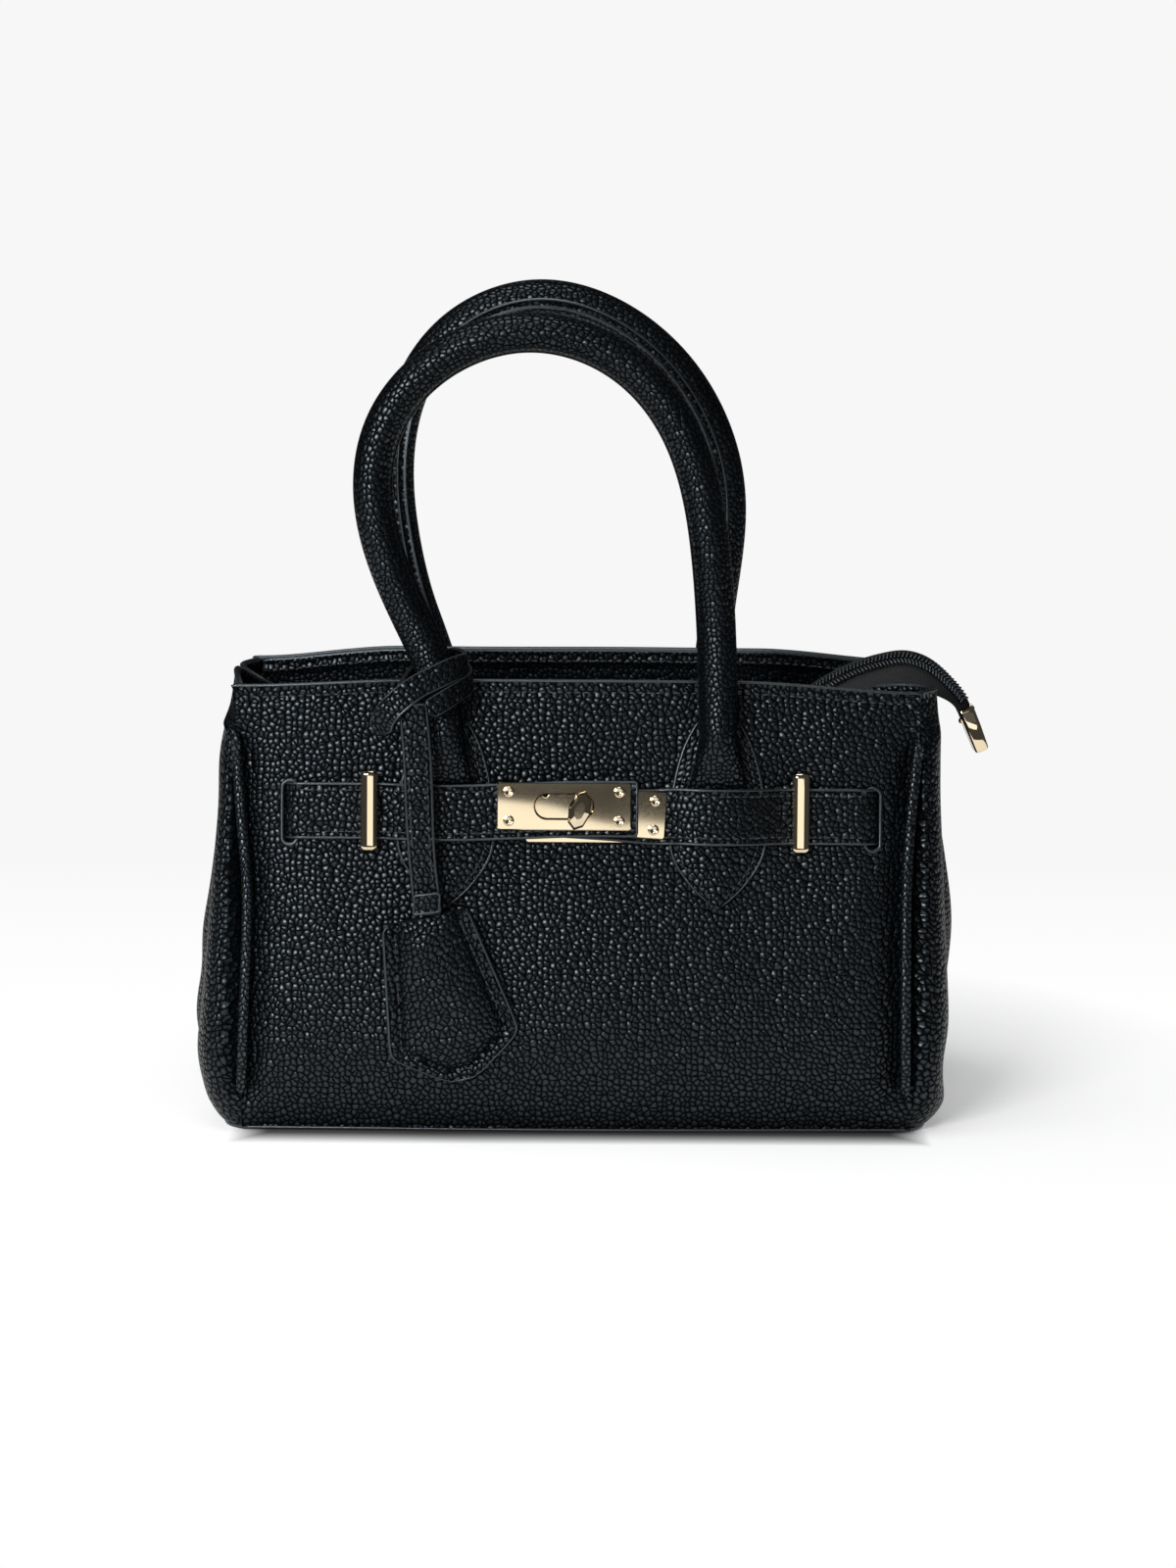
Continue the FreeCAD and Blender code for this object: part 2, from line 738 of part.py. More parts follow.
def lanyard_loop():
    """A flat strap round the fixed end of the front handle, higher behind than in front."""
    inner = handle_radius + body_gap
    tall = 6 * lanyard_width
    ring = stadium(inner + loop_thickness, loop_reach, tall).cut(stadium(inner, loop_reach, 2 * tall))
    wide = 4 * (inner + loop_reach)
    slab = box(Vec(-wide, -wide, -lanyard_width / 2), Vec(wide, wide, lanyard_width / 2))
    slab.rotate(Vec(0, 0, 0), Vec(0, 1, 0), -loop_side_tilt)
    slab.rotate(Vec(0, 0, 0), Vec(1, 0, 0), loop_back_tilt)
    lean = handle_bases["front"][0]
    ring = ring.common(slab)
    ring.rotate(Vec(0, 0, 0), Vec(0, 1, 0), math.degrees(loop_place * stub_turn(lean)))
    ring = ring.translated(stub_point(lean, loop_place)).cut(stub_tube(lean, inner))
    over_rim = box(Vec(-wide, -body_gap, -wide), Vec(wide, wide, body_gap))
    return on_front(ring.cut(over_rim), -handle_half_span)


def fob_hinge():
    out = handle_out + handle_radius + loop_thickness + 6 * body_gap + lanyard_thickness / 2
    return Vec(lanyard_x, slope_point(0, 10.0, out).y, slope_point(0, 10.0, 0).z)


def lanyard_strip():
    hinge = fob_hinge()
    half = lanyard_width / 2
    thick = lanyard_thickness / 2
    strip = box(Vec(-half, -thick, -lanyard_length), Vec(half, thick, 0))
    roll = Part.makeCylinder(thick, lanyard_width, Vec(-half, 0, 0), Vec(1, 0, 0))
    return strip.fuse(roll).removeSplitter().translated(hinge)


def lanyard_tab():
    """The strap's turned-up end, sewn on just above the fob."""
    hinge = fob_hinge()
    low = -lanyard_length + 1.0
    tab = rounded_plate(lanyard_width - 1.5, tab_height, leather, plate_corner)
    return tab.translated(hinge + Vec(0, -lanyard_thickness / 2 - seat_gap / 2, low + tab_height / 2))


def fob_outline(inset, y):
    """A bell: narrow at the top, flared, with a blunt point below."""
    top, low = fob_top_half - inset, fob_low_half - inset
    head, shoulder, tip = -inset, -fob_shoulder, -fob_length + inset
    blunt = low * 0.22
    points = [Vec(-top, y, head), Vec(top, y, head), Vec(low, y, shoulder), Vec(blunt, y, tip),
              Vec(-blunt, y, tip), Vec(-low, y, shoulder)]
    return Part.makePolygon(points + points[:1])


def place_fob(leaf):
    leaf.rotate(Vec(0, 0, 0), Vec(0, 1, 0), -fob_tilt)
    spare = body_gap + lanyard_width / 2 * math.sin(math.radians(fob_tilt))
    return leaf.translated(fob_hinge() + Vec(0, 0, -lanyard_length - spare))


def fob_back():
    low = lanyard_thickness / 2
    return place_fob(Part.Face(fob_outline(0, low)).extrude(Vec(0, -fob_leaf, 0)))


def fob_front():
    """The outer leaf: a sewn flange round a padded dome, hollow behind."""
    flat = lanyard_thickness / 2 - fob_leaf - seat_gap / 2
    flange = Part.Face(fob_outline(0, flat)).extrude(Vec(0, -fob_leaf, 0))
    foot, top = fob_flange * 0.5, flat - fob_dome
    dome = Part.makeLoft([fob_outline(foot, flat), fob_outline(fob_flange, top)], True, True)
    hollow = Part.makeLoft([fob_outline(foot + fob_leaf, flat),
                            fob_outline(fob_flange + fob_leaf, top + fob_leaf)], True, True)
    return place_fob(flange.fuse(dome).removeSplitter().cut(hollow))


# Zip

def zip_flap():
    """The front half of the inner top, hanging from its sewn edge."""
    length = zip_hinge_y - coil_width / 2 - tape_width * 0.3
    half = flap_thickness / 2
    flap = box(Vec(flap_left, -half, -length), Vec(flap_right, half, 0))
    edge = Part.makeCylinder(half, flap_right - flap_left, Vec(flap_left, 0, 0), Vec(1, 0, 0))
    return flap.fuse(edge).removeSplitter().translated(Vec(0, -zip_hinge_y, flap_hinge_z))


def zip_tape():
    """Half of the zip: its tape behind the flap's edge, and its coil."""
    reach = zip_hinge_y - seat_gap
    back = flap_thickness / 2 + seat_gap / 2
    tape = box(Vec(coil_left, -back - tape_thickness, -reach), Vec(coil_right, -back, -reach + tape_width))
    coil_back = seat_gap / 4 - back
    coil = box(Vec(coil_left, coil_back, -reach),
               Vec(coil_right, coil_back + coil_height, -reach + coil_width / 2 - seat_gap))
    return Part.makeCompound([tape, coil]).translated(Vec(0, -zip_hinge_y, flap_hinge_z))


def chain_heading(heading, out):
    """A point of the zip's line over the right-hand end, by its heading above the level."""
    centre = tail_centre()
    angle = math.radians(heading)
    reach = tail_radius + out
    return Vec(centre.x - reach * math.sin(angle), 0, centre.z + reach * math.cos(angle))


def tail_centre():
    return Vec(crest_x + tail_radius * math.sin(ramp), 0, crest_z - tail_radius * math.cos(ramp))


def ramp_points(out):
    """Level run, bend and slope of the zip's line, each offset to one side."""
    centre = Vec(slider_x + level_run, 0, zip_z + ramp_bend_radius)
    reach = ramp_bend_radius - out
    at = [centre + Vec(reach * math.sin(a), 0, -reach * math.cos(a)) for a in (0.0, ramp / 2, ramp)]
    return [Vec(slider_x, 0, zip_z + out)] + at


def chain_section(low, high):
    """The upright section of the fixed closed zip, from the slider to the tail's joint."""
    gap = math.degrees(tail_joint_gap / 2 / tail_radius)
    end = tail_joint_angle + gap
    mid = (ramp_angle + end) / 2
    a, b = ramp_points(high), ramp_points(low)
    edges = [line(a[0], a[1]), arc(a[1], a[2], a[3]), line(a[3], chain_heading(ramp_angle, high)),
             arc(chain_heading(ramp_angle, high), chain_heading(mid, high), chain_heading(end, high)),
             line(chain_heading(end, high), chain_heading(end, low)),
             arc(chain_heading(end, low), chain_heading(mid, low), chain_heading(ramp_angle, low)),
             line(chain_heading(ramp_angle, low), b[3]), arc(b[3], b[2], b[1]), line(b[1], b[0]),
             line(b[0], a[0])]
    return face(edges)


def tail_section(low, high, end):
    gap = math.degrees(tail_joint_gap / 2 / tail_radius)
    start = tail_joint_angle - gap
    mid = (start + end) / 2
    edges = [arc(chain_heading(start, high), chain_heading(mid, high), chain_heading(end, high)),
             line(chain_heading(end, high), chain_heading(end, low)),
             arc(chain_heading(end, low), chain_heading(mid, low), chain_heading(start, low)),
             line(chain_heading(start, low), chain_heading(start, high))]
    return face(edges)


def across(section, width):
    return section.extrude(Vec(0, width, 0)).translated(Vec(0, -width / 2, 0))


def zip_chain():
    half = tape_thickness / 2
    tape = across(chain_section(-half, half), 2 * tape_width)
    coil = across(chain_section(half + seat_gap / 4, half + coil_height), coil_width)
    return Part.makeCompound([tape, coil])


def zip_tail():
    half = tape_thickness / 2
    tape = across(tail_section(-half, half, -tail_end_angle), tape_width)
    coil = across(tail_section(half + seat_gap / 4, half + coil_height, -tail_end_angle + 8.0), coil_width)
    return Part.makeCompound([tape, coil])


def cap_frame(shape):
    """Sets the metal end, modelled hanging down from the origin, on the tail's tip."""
    tip = chain_heading(-tail_end_angle, 0)
    shape.rotate(Vec(0, 0, 0), Vec(0, 1, 0), tail_end_angle - 90.0)
    return shape.translated(tip)


def cap_rect(width, depth, z):
    points = [Vec(x * width / 2, y * depth / 2, z) for x, y in ((-1, -1), (1, -1), (1, 1), (-1, 1))]
    return Part.makePolygon(points + points[:1])


def zip_end_cap():
    shell = Part.makeLoft([cap_rect(cap_depth, cap_top_width * 2, cap_grip),
                           cap_rect(cap_depth * 0.8, cap_low_width * 2, cap_grip - cap_length)], True, True)
    upright = [e for e in shell.Edges if abs(e.Vertexes[0].Z - e.Vertexes[1].Z) > cap_length / 2]
    shell = shell.makeFillet(cap_depth * 0.25, upright)
    slack = tape_thickness / 2 + 3 * seat_gap
    mouth = box(Vec(-slack, -tape_width / 2 - seat_gap, -seat_gap),
                Vec(slack, tape_width / 2 + seat_gap, 2 * cap_grip))
    return cap_frame(shell.cut(mouth).cut(cap_screw_blank(seat_gap / 4)))


def cap_screw_blank(spare):
    side = -cap_depth / 2
    return Part.makeCylinder(cap_screw_radius + spare, cap_screw_reach + 1.2 + spare,
                             Vec(side - cap_screw_reach, 0, cap_grip - 5.0), Vec(1, 0, 0))


def zip_cap_screw():
    return cap_frame(cap_screw_blank(0.0))


def zip_slider():
    """Two plates joined by the wedge at the nose, with side walls round the coil and a loop on top."""
    half_l, half_w, half_h = slider_length / 2, slider_width / 2, slider_height / 2
    middle = zip_z + coil_height / 2
    body = box(Vec(-half_l, -half_w, -half_h), Vec(half_l, half_w, half_h))
    upright = [e for e in body.Edges if abs(e.Vertexes[0].Z - e.Vertexes[1].Z) > half_h]
    body = body.makeFillet(slider_width * 0.2, upright)
    inner = half_h - slider_plate
    clear = Vec(2 * half_l, coil_width / 2 + body_gap, inner)
    channel = box(-clear, clear)
    lips = box(Vec(-2 * half_l, -2 * half_w, -inner), Vec(2 * half_l, 2 * half_w, 0))
    nose = Vec(-half_l + 2 * slider_plate, 0, -half_h + slider_plate / 2)
    wedge = Part.makeCylinder(slider_plate, 2 * half_h - slider_plate, nose)
    body = body.cut(channel.fuse(lips)).fuse(wedge)
    top = half_h + slider_plate + pull_thickness
    loop = box(Vec(-slider_plate * 2, -slider_plate, half_h - slider_plate / 2),
               Vec(slider_plate * 3, slider_plate, top + slider_plate))
    hole = box(Vec(-slider_plate, -half_w, half_h), Vec(slider_plate * 2, half_w, top))
    return body.fuse(loop.cut(hole)).removeSplitter().translated(Vec(slider_x, 0, middle))


def pull_hinge():
    top = zip_z + (coil_height + slider_height) / 2
    return Vec(slider_x + slider_plate / 2, 0, top + (slider_plate + pull_thickness) / 2)


def zip_pull():
    """A tab that lies back on the zip's slope, with an eye round the slider's loop."""
    half_w, half_t = pull_width / 2, pull_thickness / 2
    bar = 0.8 * slider_plate
    tab = box(Vec(-bar, -half_w, -half_t), Vec(pull_length, half_w, half_t))
    half_eye = slider_plate + body_gap
    eye = box(Vec(bar, -half_eye, -pull_width), Vec(bar + 3.7, half_eye, pull_width))
    ends = [e for e in tab.Edges if abs(e.Vertexes[0].Z - e.Vertexes[1].Z) > half_t and e.CenterOfMass.x > 0]
    tab = tab.makeFillet(pull_width * 0.3, ends).cut(eye)
    tab.rotate(Vec(0, 0, 0), Vec(0, 1, 0), -pull_lean)
    return tab.translated(pull_hinge())


def parts():
    nodes = {"front_panel": front_panel(), "back_panel": back_panel(),
             "base_panel": base_panel(), "base_board": base_board(), "base_lining": base_lining(),
             "front_facing": facing(), "front_lining": wall_lining(),
             "front_base_edge": base_edge()}
    for name in ("facing", "lining", "base_edge"):
        nodes["back_" + name] = to_back(nodes["front_" + name])
    for side, word in ((-1, "left"), (1, "right")):
        nodes[word + "_gusset"] = gusset(word)
        nodes[word + "_lining"] = side_lining(word)
        nodes["front_%s_welt" % word] = welt(side)
        nodes["back_%s_welt" % word] = to_back(nodes["front_%s_welt" % word])
        nodes["front_%s_handle_base" % word] = handle_base(side, handle_bases["front"][(side + 1) // 2])
        nodes["back_%s_handle_base" % word] = to_back(handle_base(side, handle_bases["back"][(side + 1) // 2]))
        nodes[word + "_strap"] = strap(side)
        nodes[word + "_lock_plate"] = lock_plate(side)
        nodes[word + "_plate_rivets"] = plate_rivets(side)
        nodes[word + "_keeper_bar"] = keeper_bar(side)
    for name in ("front", "back"):
        cover, core = handle_cover(name), handle_core(name)
        nodes[name + "_handle_cover"] = cover if name == "front" else to_back(cover)
        nodes[name + "_handle_core"] = core if name == "front" else to_back(core)
    nodes.update({"keeper_washers": keeper_washers(), "lock_base": lock_base(), "lock_backing": lock_backing(),
                  "turn_knob": turn_knob(), "lanyard_loop": lanyard_loop(), "lanyard_strip": lanyard_strip(),
                  "lanyard_tab": lanyard_tab(), "fob_back": fob_back(), "fob_front": fob_front(),
                  "front_zip_flap": zip_flap(), "front_zip_tape": zip_tape(),
                  "zip_chain": zip_chain(), "zip_tail": zip_tail(), "zip_end_cap": zip_end_cap(),
                  "zip_cap_screw": zip_cap_screw(), "zip_slider": zip_slider(), "zip_pull": zip_pull()})
    for name in ("zip_flap", "zip_tape"):
        nodes["back_" + name] = to_back(nodes["front_" + name])
    return nodes


def main():
    os.makedirs("parts", exist_ok=True)
    for name, shape in parts().items():
        shape.exportStep(os.path.join("parts", name + ".step"))
        print(name, "solids", len(shape.Solids), "volume", round(shape.Volume, 1), "valid", shape.isValid())


main()
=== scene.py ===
import math

import bmesh
import bpy
import numpy as np
from mathutils import Matrix, Vector

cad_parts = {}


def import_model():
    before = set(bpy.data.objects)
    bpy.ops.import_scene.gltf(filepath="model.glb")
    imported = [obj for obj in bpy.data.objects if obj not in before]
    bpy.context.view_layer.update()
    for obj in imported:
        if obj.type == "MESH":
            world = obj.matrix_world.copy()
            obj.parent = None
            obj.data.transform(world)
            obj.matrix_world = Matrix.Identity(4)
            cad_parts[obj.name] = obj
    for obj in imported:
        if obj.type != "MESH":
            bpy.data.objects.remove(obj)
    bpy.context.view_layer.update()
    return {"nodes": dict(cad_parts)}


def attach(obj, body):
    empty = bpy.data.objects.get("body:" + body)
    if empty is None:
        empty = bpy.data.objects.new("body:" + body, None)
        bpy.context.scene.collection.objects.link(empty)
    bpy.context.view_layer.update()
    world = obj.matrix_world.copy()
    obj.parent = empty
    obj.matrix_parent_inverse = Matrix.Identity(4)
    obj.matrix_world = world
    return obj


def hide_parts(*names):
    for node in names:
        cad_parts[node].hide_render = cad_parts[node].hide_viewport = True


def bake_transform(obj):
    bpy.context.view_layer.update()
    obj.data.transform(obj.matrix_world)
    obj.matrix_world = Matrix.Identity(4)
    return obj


# A small pebbled leather tote. Sizes are in millimetres, as in the part's source, and meshes in metres.
# X runs to the viewer's right, the front faces -Y and Z is up from the floor.
# Where a value has two forms, -1 stands for the left or the front and 1 for the right or the back.

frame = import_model()
nodes = frame["nodes"]
mm = 0.001
front, back = -1, 1
side_name = {front: "front", back: "back"}
hands = ((-1, "left"), (1, "right"))
towards_viewer = np.array([0.0, -1.0, 0.0])

# Body
rim_height, rim_half_width, floor_half_width = 170.0, 129.0, 126.0
rim_half_depth, belly_half_depth, belly_height = 39.5, 57.0, 45.0
floor_half_depth, floor_gap, leather = 53.0, 1.2, 2.0
facing_out, facing_thickness, lining_out, lining_thickness = -2.1, 1.6, -4.0, 0.8
# radius of the rolled edge at the rim and round the rest of a wall
wall_lips = (0.75, 0.1)
# the soft rim: how far the front's ends sag, how far the back stands up and its ends sag
rim_sag = {-1: 2.5, 1: 3.8}
back_rise, back_sag = 3.2, 1.2
rim_seam_drop, rim_seam_end = 3.8, 124.0
# swellings of the walls: how far out, then place and reach across, then place and reach below the rim
loose_swells = ((1.7, 10.0, 80.0, 120.0, 36.0), (0.7, -78.0, 22.0, 96.0, 26.0), (0.8, 92.0, 16.0, 100.0, 30.0),
                (-0.5, -30.0, 14.0, 112.0, 34.0))
firm_swells = ((2.2, 0.0, 95.0, 125.0, 50.0), (1.2, 95.0, 22.0, 18.0, 18.0))
# slanting folds: how far out, then place, slant and reach across, then place and reach below the rim
slant_folds = ((0.9, -104.0, 0.32, 4.5, 84.0, 17.0), (0.7, 106.0, -0.18, 4.0, 82.0, 15.0))
fold_start = 66.0

# Gussets: two humps with a tuck between them, what the rim adds to each, and the rim's ear and dip
front_hump, tuck_fill, rim_tuck, hump_place, seam_sink = 16.5, 8.0, 16.0, 0.55, 5.5
rear_hump, rim_hump = {-1: 27.8, 1: 23.7}, {-1: 3.5, 1: 7.0}
front_rim_hump = {-1: 1.4, 1: 8.0}
rim_ear, rim_dip = {-1: 4.5, 1: -0.5}, {-1: 9.0, 1: 3.5}
# the gussets' own dents: height, reach, and how far the front and the rear hump go out there
side_folds = {-1: ((140, 14, 2.4, 0.0), (76, 24, 0.0, -2.0), (44, 14, 0.0, -2.4), (28, 12, 1.4, 0.0)),
              1: ((148, 16, 1.2, 0.0), (100, 30, 0.0, 3.6), (66, 22, 0.0, 3.0), (26, 10, -2.2, -2.2),
                  (7, 7, 2.4, 2.4))}
side_shift = {-1: 1.8, 1: -2.0}

# Raised side seams: height and how far out they stand there, the drop of the top and the height of the foot
welt_line = {-1: ((15.0, 127.6), (52.0, 126.1), (74.0, 125.4), (95.0, 125.4), (114.0, 127.0), (132.0, 128.4),
                  (152.0, 129.6)),
             1: ((15.0, 122.9), (42.0, 122.3), (68.0, 122.2), (91.0, 122.3), (122.0, 123.8), (137.0, 125.0),
                 (152.0, 126.3))}
welt_drop, welt_foot, welt_out, welt_fade = 17.0, 15.0, 3.6, 3.0
welt_half, welt_top, welt_root, welt_lift = 2.0, 1.5, 4.6, 1.2

# Handles and their feet
handle_radius, handle_half_span, handle_out, pivot_z, stub_drop = 7.0, 51.0, 7.6, 190.0, 22.0
handle_rise = {front: 110.0, back: 123.0}
handle_leans = {front: (-11.0, -1.0), back: (-14.2, 3.7)}
lean_power = {front: 2.0, back: 1.0}
# degrees round a handle: its seam's place, half the seam strip's width and the reach of the strip's paint
handle_seam = {front: 195.0, back: 250.0}
strip_half, strip_paint = 13.0, 3.6
pivot_climb, bend_reach = 19.13, 8
handle_shape = {front: ((-1.0, 0.0), (-1.21, 0.25), (-1.29, 0.46), (-1.225, 0.67), (-1.0, 0.84), (-0.25, 1.0),
                        (0.385, 0.893), (0.728, 0.69), (0.885, 0.475), (0.957, 0.26), (1.0, 0.0)),
                back: ((-1.0, 0.0), (-1.115, 0.234), (-1.148, 0.384), (-1.057, 0.689), (-0.78, 0.884),
                       (-0.221, 0.994), (0.636, 0.81), (0.888, 0.643), (1.028, 0.46), (1.062, 0.312),
                       (1.0, 0.0))}
# the handle's end inside its foot: drop, distance out, half width and half depth
foot_tube = ((21.5, 7.6, 7.0, 7.0), (28.5, 5.9, 8.2, 5.9), (34.0, 4.2, 9.4, 4.4), (39.0, 2.8, 10.6, 3.0),
             (46.0, 2.1, 11.6, 2.0), (54.0, 1.5, 12.0, 1.2), (62.0, 1.0, 11.4, 0.5))
# the foot's outline: drop and half width
foot_outline = ((13.5, 6.6), (17.5, 9.0), (22.0, 11.4), (27.0, 13.3), (33.0, 15.0), (40.0, 16.3), (50.0, 17.4),
                (58.0, 17.6), (64.0, 16.6), (69.0, 14.4), (75.6, 9.7), (80.3, 5.2), (83.6, 1.4))

# Belt and lock
strap_width, strap_thickness, strap_crown, strap_narrowing = 19.4, 1.6, 0.25, 0.8
belt_drop, strap_drop = 49.0, {-1: 48.6, 1: 49.8}
# the belt from inside its slit: distance from the middle, sag and distance out
strap_run = ((118.5, 0.0, -7.5), (115.0, 0.0, -6.5), (112.0, 0.0, -4.0), (109.5, 0.0, -1.6), (107.0, 0.0, 0.1),
             (102.0, 0.0, 0.7), (92.0, 0.0, 0.6), (82.0, 0.0, 0.35), (75.0, 0.0, 0.7), (67.0, 0.2, 3.3),
             (60.0, 0.3, 5.6), (51.0, 0.4, 6.6), (43.0, 0.3, 6.2))
strap_end, strap_settles = {-1: 5.9, 1: 2.0}, {-1: (-34.0, 12.0), 1: (-36.0, -6.0)}
plate_shift, plate_drop, plate_tilt = 6.6, {-1: 46.3, 1: 48.3}, {-1: 0.0, 1: 3.5}
plate_length, plate_height, slot_length, slot_height = 50.0, 17.6, 21.6, 9.0
plate_top = {-1: 8.9, 1: 5.0}
keeper_x = {-1: -79.4, 1: 82.0}
keeper_lean, keeper_drop, keeper_out, keeper_half, keeper_half_depth = 0.02, 48.4, 4.5, 3.3, 2.3
# the keeper bar's rings: height and share of the full thickness
keeper_rings = ((-14.6, 0.8), (-14.0, 0.97), (-13.4, 1.0), (-12.9, 1.0),
                (12.9, 1.0), (13.4, 1.0), (14.0, 0.97), (14.6, 0.8))
# a rivet from its middle outwards: radius and height
rivet_profile = ((0.02, 0.18), (0.75, 0.18), (0.95, 0.42), (1.25, 0.66), (1.6, 0.62), (1.95, 0.34), (2.1, -0.1))
rivet_inset_x, rivet_inset_z = 4.4, 3.4
slit_x, slit_width, slit_height = 107.2, 4.6, 24.0
slit_middle = slit_x + slit_width / 2

# Lanyard and fob
lanyard_width, lanyard_thickness, lanyard_length = 9.0, 3.0, 74.0
tab_half, tab_top, tab_height, tab_thickness = 4.4, 7.2, 6.4, 2.0
fob_hinge = np.array([-59.5, -60.792, 160.097])
fob_top_half, fob_low_half, fob_shoulder, fob_length, fob_tilt = 15.6, 24.4, 50.0, 63.0, 13.0
fob_middle, fob_blunt, fob_leather = 1.4, fob_low_half * 0.22, 1.6

# Zip
zip_z, slider_x = 150.0, 55.37
flap_left, flap_right, coil_left, coil_right = -106.0, 44.87, -70.0, 40.87
flap_hinge_y, flap_hinge_z, flap_length, flap_thickness = 36.6, 151.2, 30.6, 1.4
flap_coil_pitch, flap_coil_y, flap_tape_y, flap_tape_height = 1.25, -36.6, -37.7, 10.3
tape_thickness, coil_pitch, coil_reach, coil_lift = 0.8, 1.45, 1.5, 1.15
# the closed zip: its twist in degrees, and how far its tape reaches to the front, there at its end, and back
zip_twist, tape_near, tape_near_end, tape_far = 52.0, 12.5, 5.0, 3.8
zip_rise = ((67.0, 150.0), (76.0, 152.6), (85.0, 158.2), (94.2, 164.0), (106.1, 170.2), (118.0, 173.9),
            (124.4, 174.8), (132.9, 172.7), (142.2, 165.4), (147.6, 159.0), (150.4, 153.0))
zip_end_top, zip_end_low = np.array([149.0, 0.0, 156.3]), np.array([155.85, 0.0, 139.65])
# the metal end's rings: share of its length, half width and half depth
zip_end_rings = ((0.0, 2.7, 4.8), (0.015, 3.2, 5.4), (0.06, 3.3, 5.6), (0.075, 3.1, 4.7),
                 (0.46, 3.05, 6.2), (0.93, 2.8, 5.6), (0.98, 2.6, 5.3), (1.0, 2.1, 4.8))

# Thread: pitch, length and radius of a stitch
rim_thread, foot_thread, belt_thread = (3.3, 2.3, 0.32), (3.0, 2.1, 0.28), (2.9, 2.0, 0.26)

slope = math.atan2(belly_half_depth - rim_half_depth, rim_height - belly_height)
belly_drop = (rim_height - belly_height) / math.cos(slope)
chord_y, chord_z = belly_half_depth - floor_half_depth, floor_gap - belly_height
belly_radius = (chord_y ** 2 + chord_z ** 2) / (2 * (chord_y * math.cos(slope) - chord_z * math.sin(slope)))
belly_y = -belly_half_depth + belly_radius * math.cos(slope)
belly_z = belly_height - belly_radius * math.sin(slope)


# Curves and surfaces

def ease(x, low, high):
    t = np.clip((np.asarray(x, float) - low) / (high - low), 0.0, 1.0)
    return t * t * (3 - 2 * t)


def mound(x, middle, width):
    return np.exp(-((x - middle) / width) ** 2)


def squared(values, power):
    """Squares off the cosine or sine of a round."""
    return np.sign(values) * np.abs(values) ** power


def unit(vectors):
    return vectors / np.maximum(np.linalg.norm(vectors, axis=-1, keepdims=True), 1e-9)


def matched(*values):
    return np.broadcast_arrays(*(np.asarray(value, float) for value in values))


def points_at(x, y, z):
    return np.stack(matched(x, y, z), axis=-1)


def lattice(rows, columns):
    return np.meshgrid(rows, columns, indexing="ij")


def round_turn(count):
    return np.linspace(0, 2 * math.pi, count, endpoint=False)


def run_along(line):
    """The distance along a line from its start to each of its points."""
    return np.concatenate([[0.0], np.cumsum(np.linalg.norm(np.diff(line, axis=0), axis=1))])


def read_at(at, run, rows):
    """Rows of points or directions, read at places between them."""
    return np.stack([np.interp(at, run, column) for column in rows.T], -1)


def tangents(line, closed=False):
    if closed:
        return unit(np.roll(line, -1, axis=0) - np.roll(line, 1, axis=0))
    return unit(np.gradient(line, axis=0))


def rings_round(line, across, out, wide, high):
    """Rings of points about a line; wide and high hold a ring's shape across the line and out of it."""
    return line[:, None] + wide[..., None] * across[:, None] + high[..., None] * out[:, None]


def natural(knots, values, at):
    """Values of a natural cubic curve at the places asked for."""
    gaps = np.diff(knots)
    count = len(knots)
    system = np.zeros((count, count))
    right = np.zeros(values.shape)
    system[0, 0] = system[-1, -1] = 1
    for i in range(1, count - 1):
        system[i, i - 1:i + 2] = gaps[i - 1], 2 * (gaps[i - 1] + gaps[i]), gaps[i]
        right[i] = 6 * ((values[i + 1] - values[i]) / gaps[i] - (values[i] - values[i - 1]) / gaps[i - 1])
    bend = np.linalg.solve(system, right)
    k = np.clip(np.searchsorted(knots, at) - 1, 0, count - 2)
    gap = gaps[k][:, None]
    a = (knots[k + 1] - at)[:, None] / gap
    b = 1 - a
    curved = ((a ** 3 - a) * bend[k] + (b ** 3 - b) * bend[k + 1]) * gap ** 2 / 6
    return a * values[k] + b * values[k + 1] + curved


def read_table(table, at):
    """Reads a table of two columns as a smooth curve."""
    knots, values = np.array(table).T
    return natural(knots, values[:, None], np.ravel(at))[:, 0].reshape(np.shape(at))


def curve_through(points, count):
    """Evenly spaced points on a smooth line through the given ones; columns after the third ride along."""
    points = np.asarray(points, float)
    knots = run_along(points[:, :3])
    return natural(knots, points, np.linspace(0, knots[-1], count))


def drop_to(z):
    """The distance along the wall from the rim down to a height below the belly."""
    return belly_drop + belly_radius * (slope - math.asin((z - belly_z) / belly_radius))


wall_length = drop_to(floor_gap)


def wall_line(s):
    """Depth, height and lean of the front's upright line, by the distance along it below the rim."""
    s = np.asarray(s, float)
    lean = np.where(s > belly_drop, slope - (s - belly_drop) / belly_radius, slope)
    y = np.where(s > belly_drop, belly_y - belly_radius * np.cos(lean), -rim_half_depth - s * math.sin(slope))
    z = np.where(s > belly_drop, belly_z + belly_radius * np.sin(lean), rim_height - s * math.cos(slope))
    return y, z, lean


def half_width(z):
    return floor_half_width + (rim_half_width - floor_half_width) * z / rim_height


def edge_x(hand, z):
    """Where the front and back end beside a gusset; the bag stands a little askew."""
    return half_width(z) + side_shift[hand]


def half_depth(z):
    line = rim_half_depth + (rim_height - z) * math.tan(slope)
    bow = -belly_y + np.sqrt(np.maximum(belly_radius ** 2 - (z - belly_z) ** 2, 0))
    return np.where(z >= belly_height, line, bow)


def rim_lift(side, x):
    """How far the soft rim stands above or sags below its drawn height."""
    if side == front:
        return -np.where(x < 0, rim_sag[-1], rim_sag[1]) * ease(np.abs(x), 55, rim_half_width)
    return back_rise - (back_rise + back_sag) * ease(np.abs(x), 70, rim_half_width)


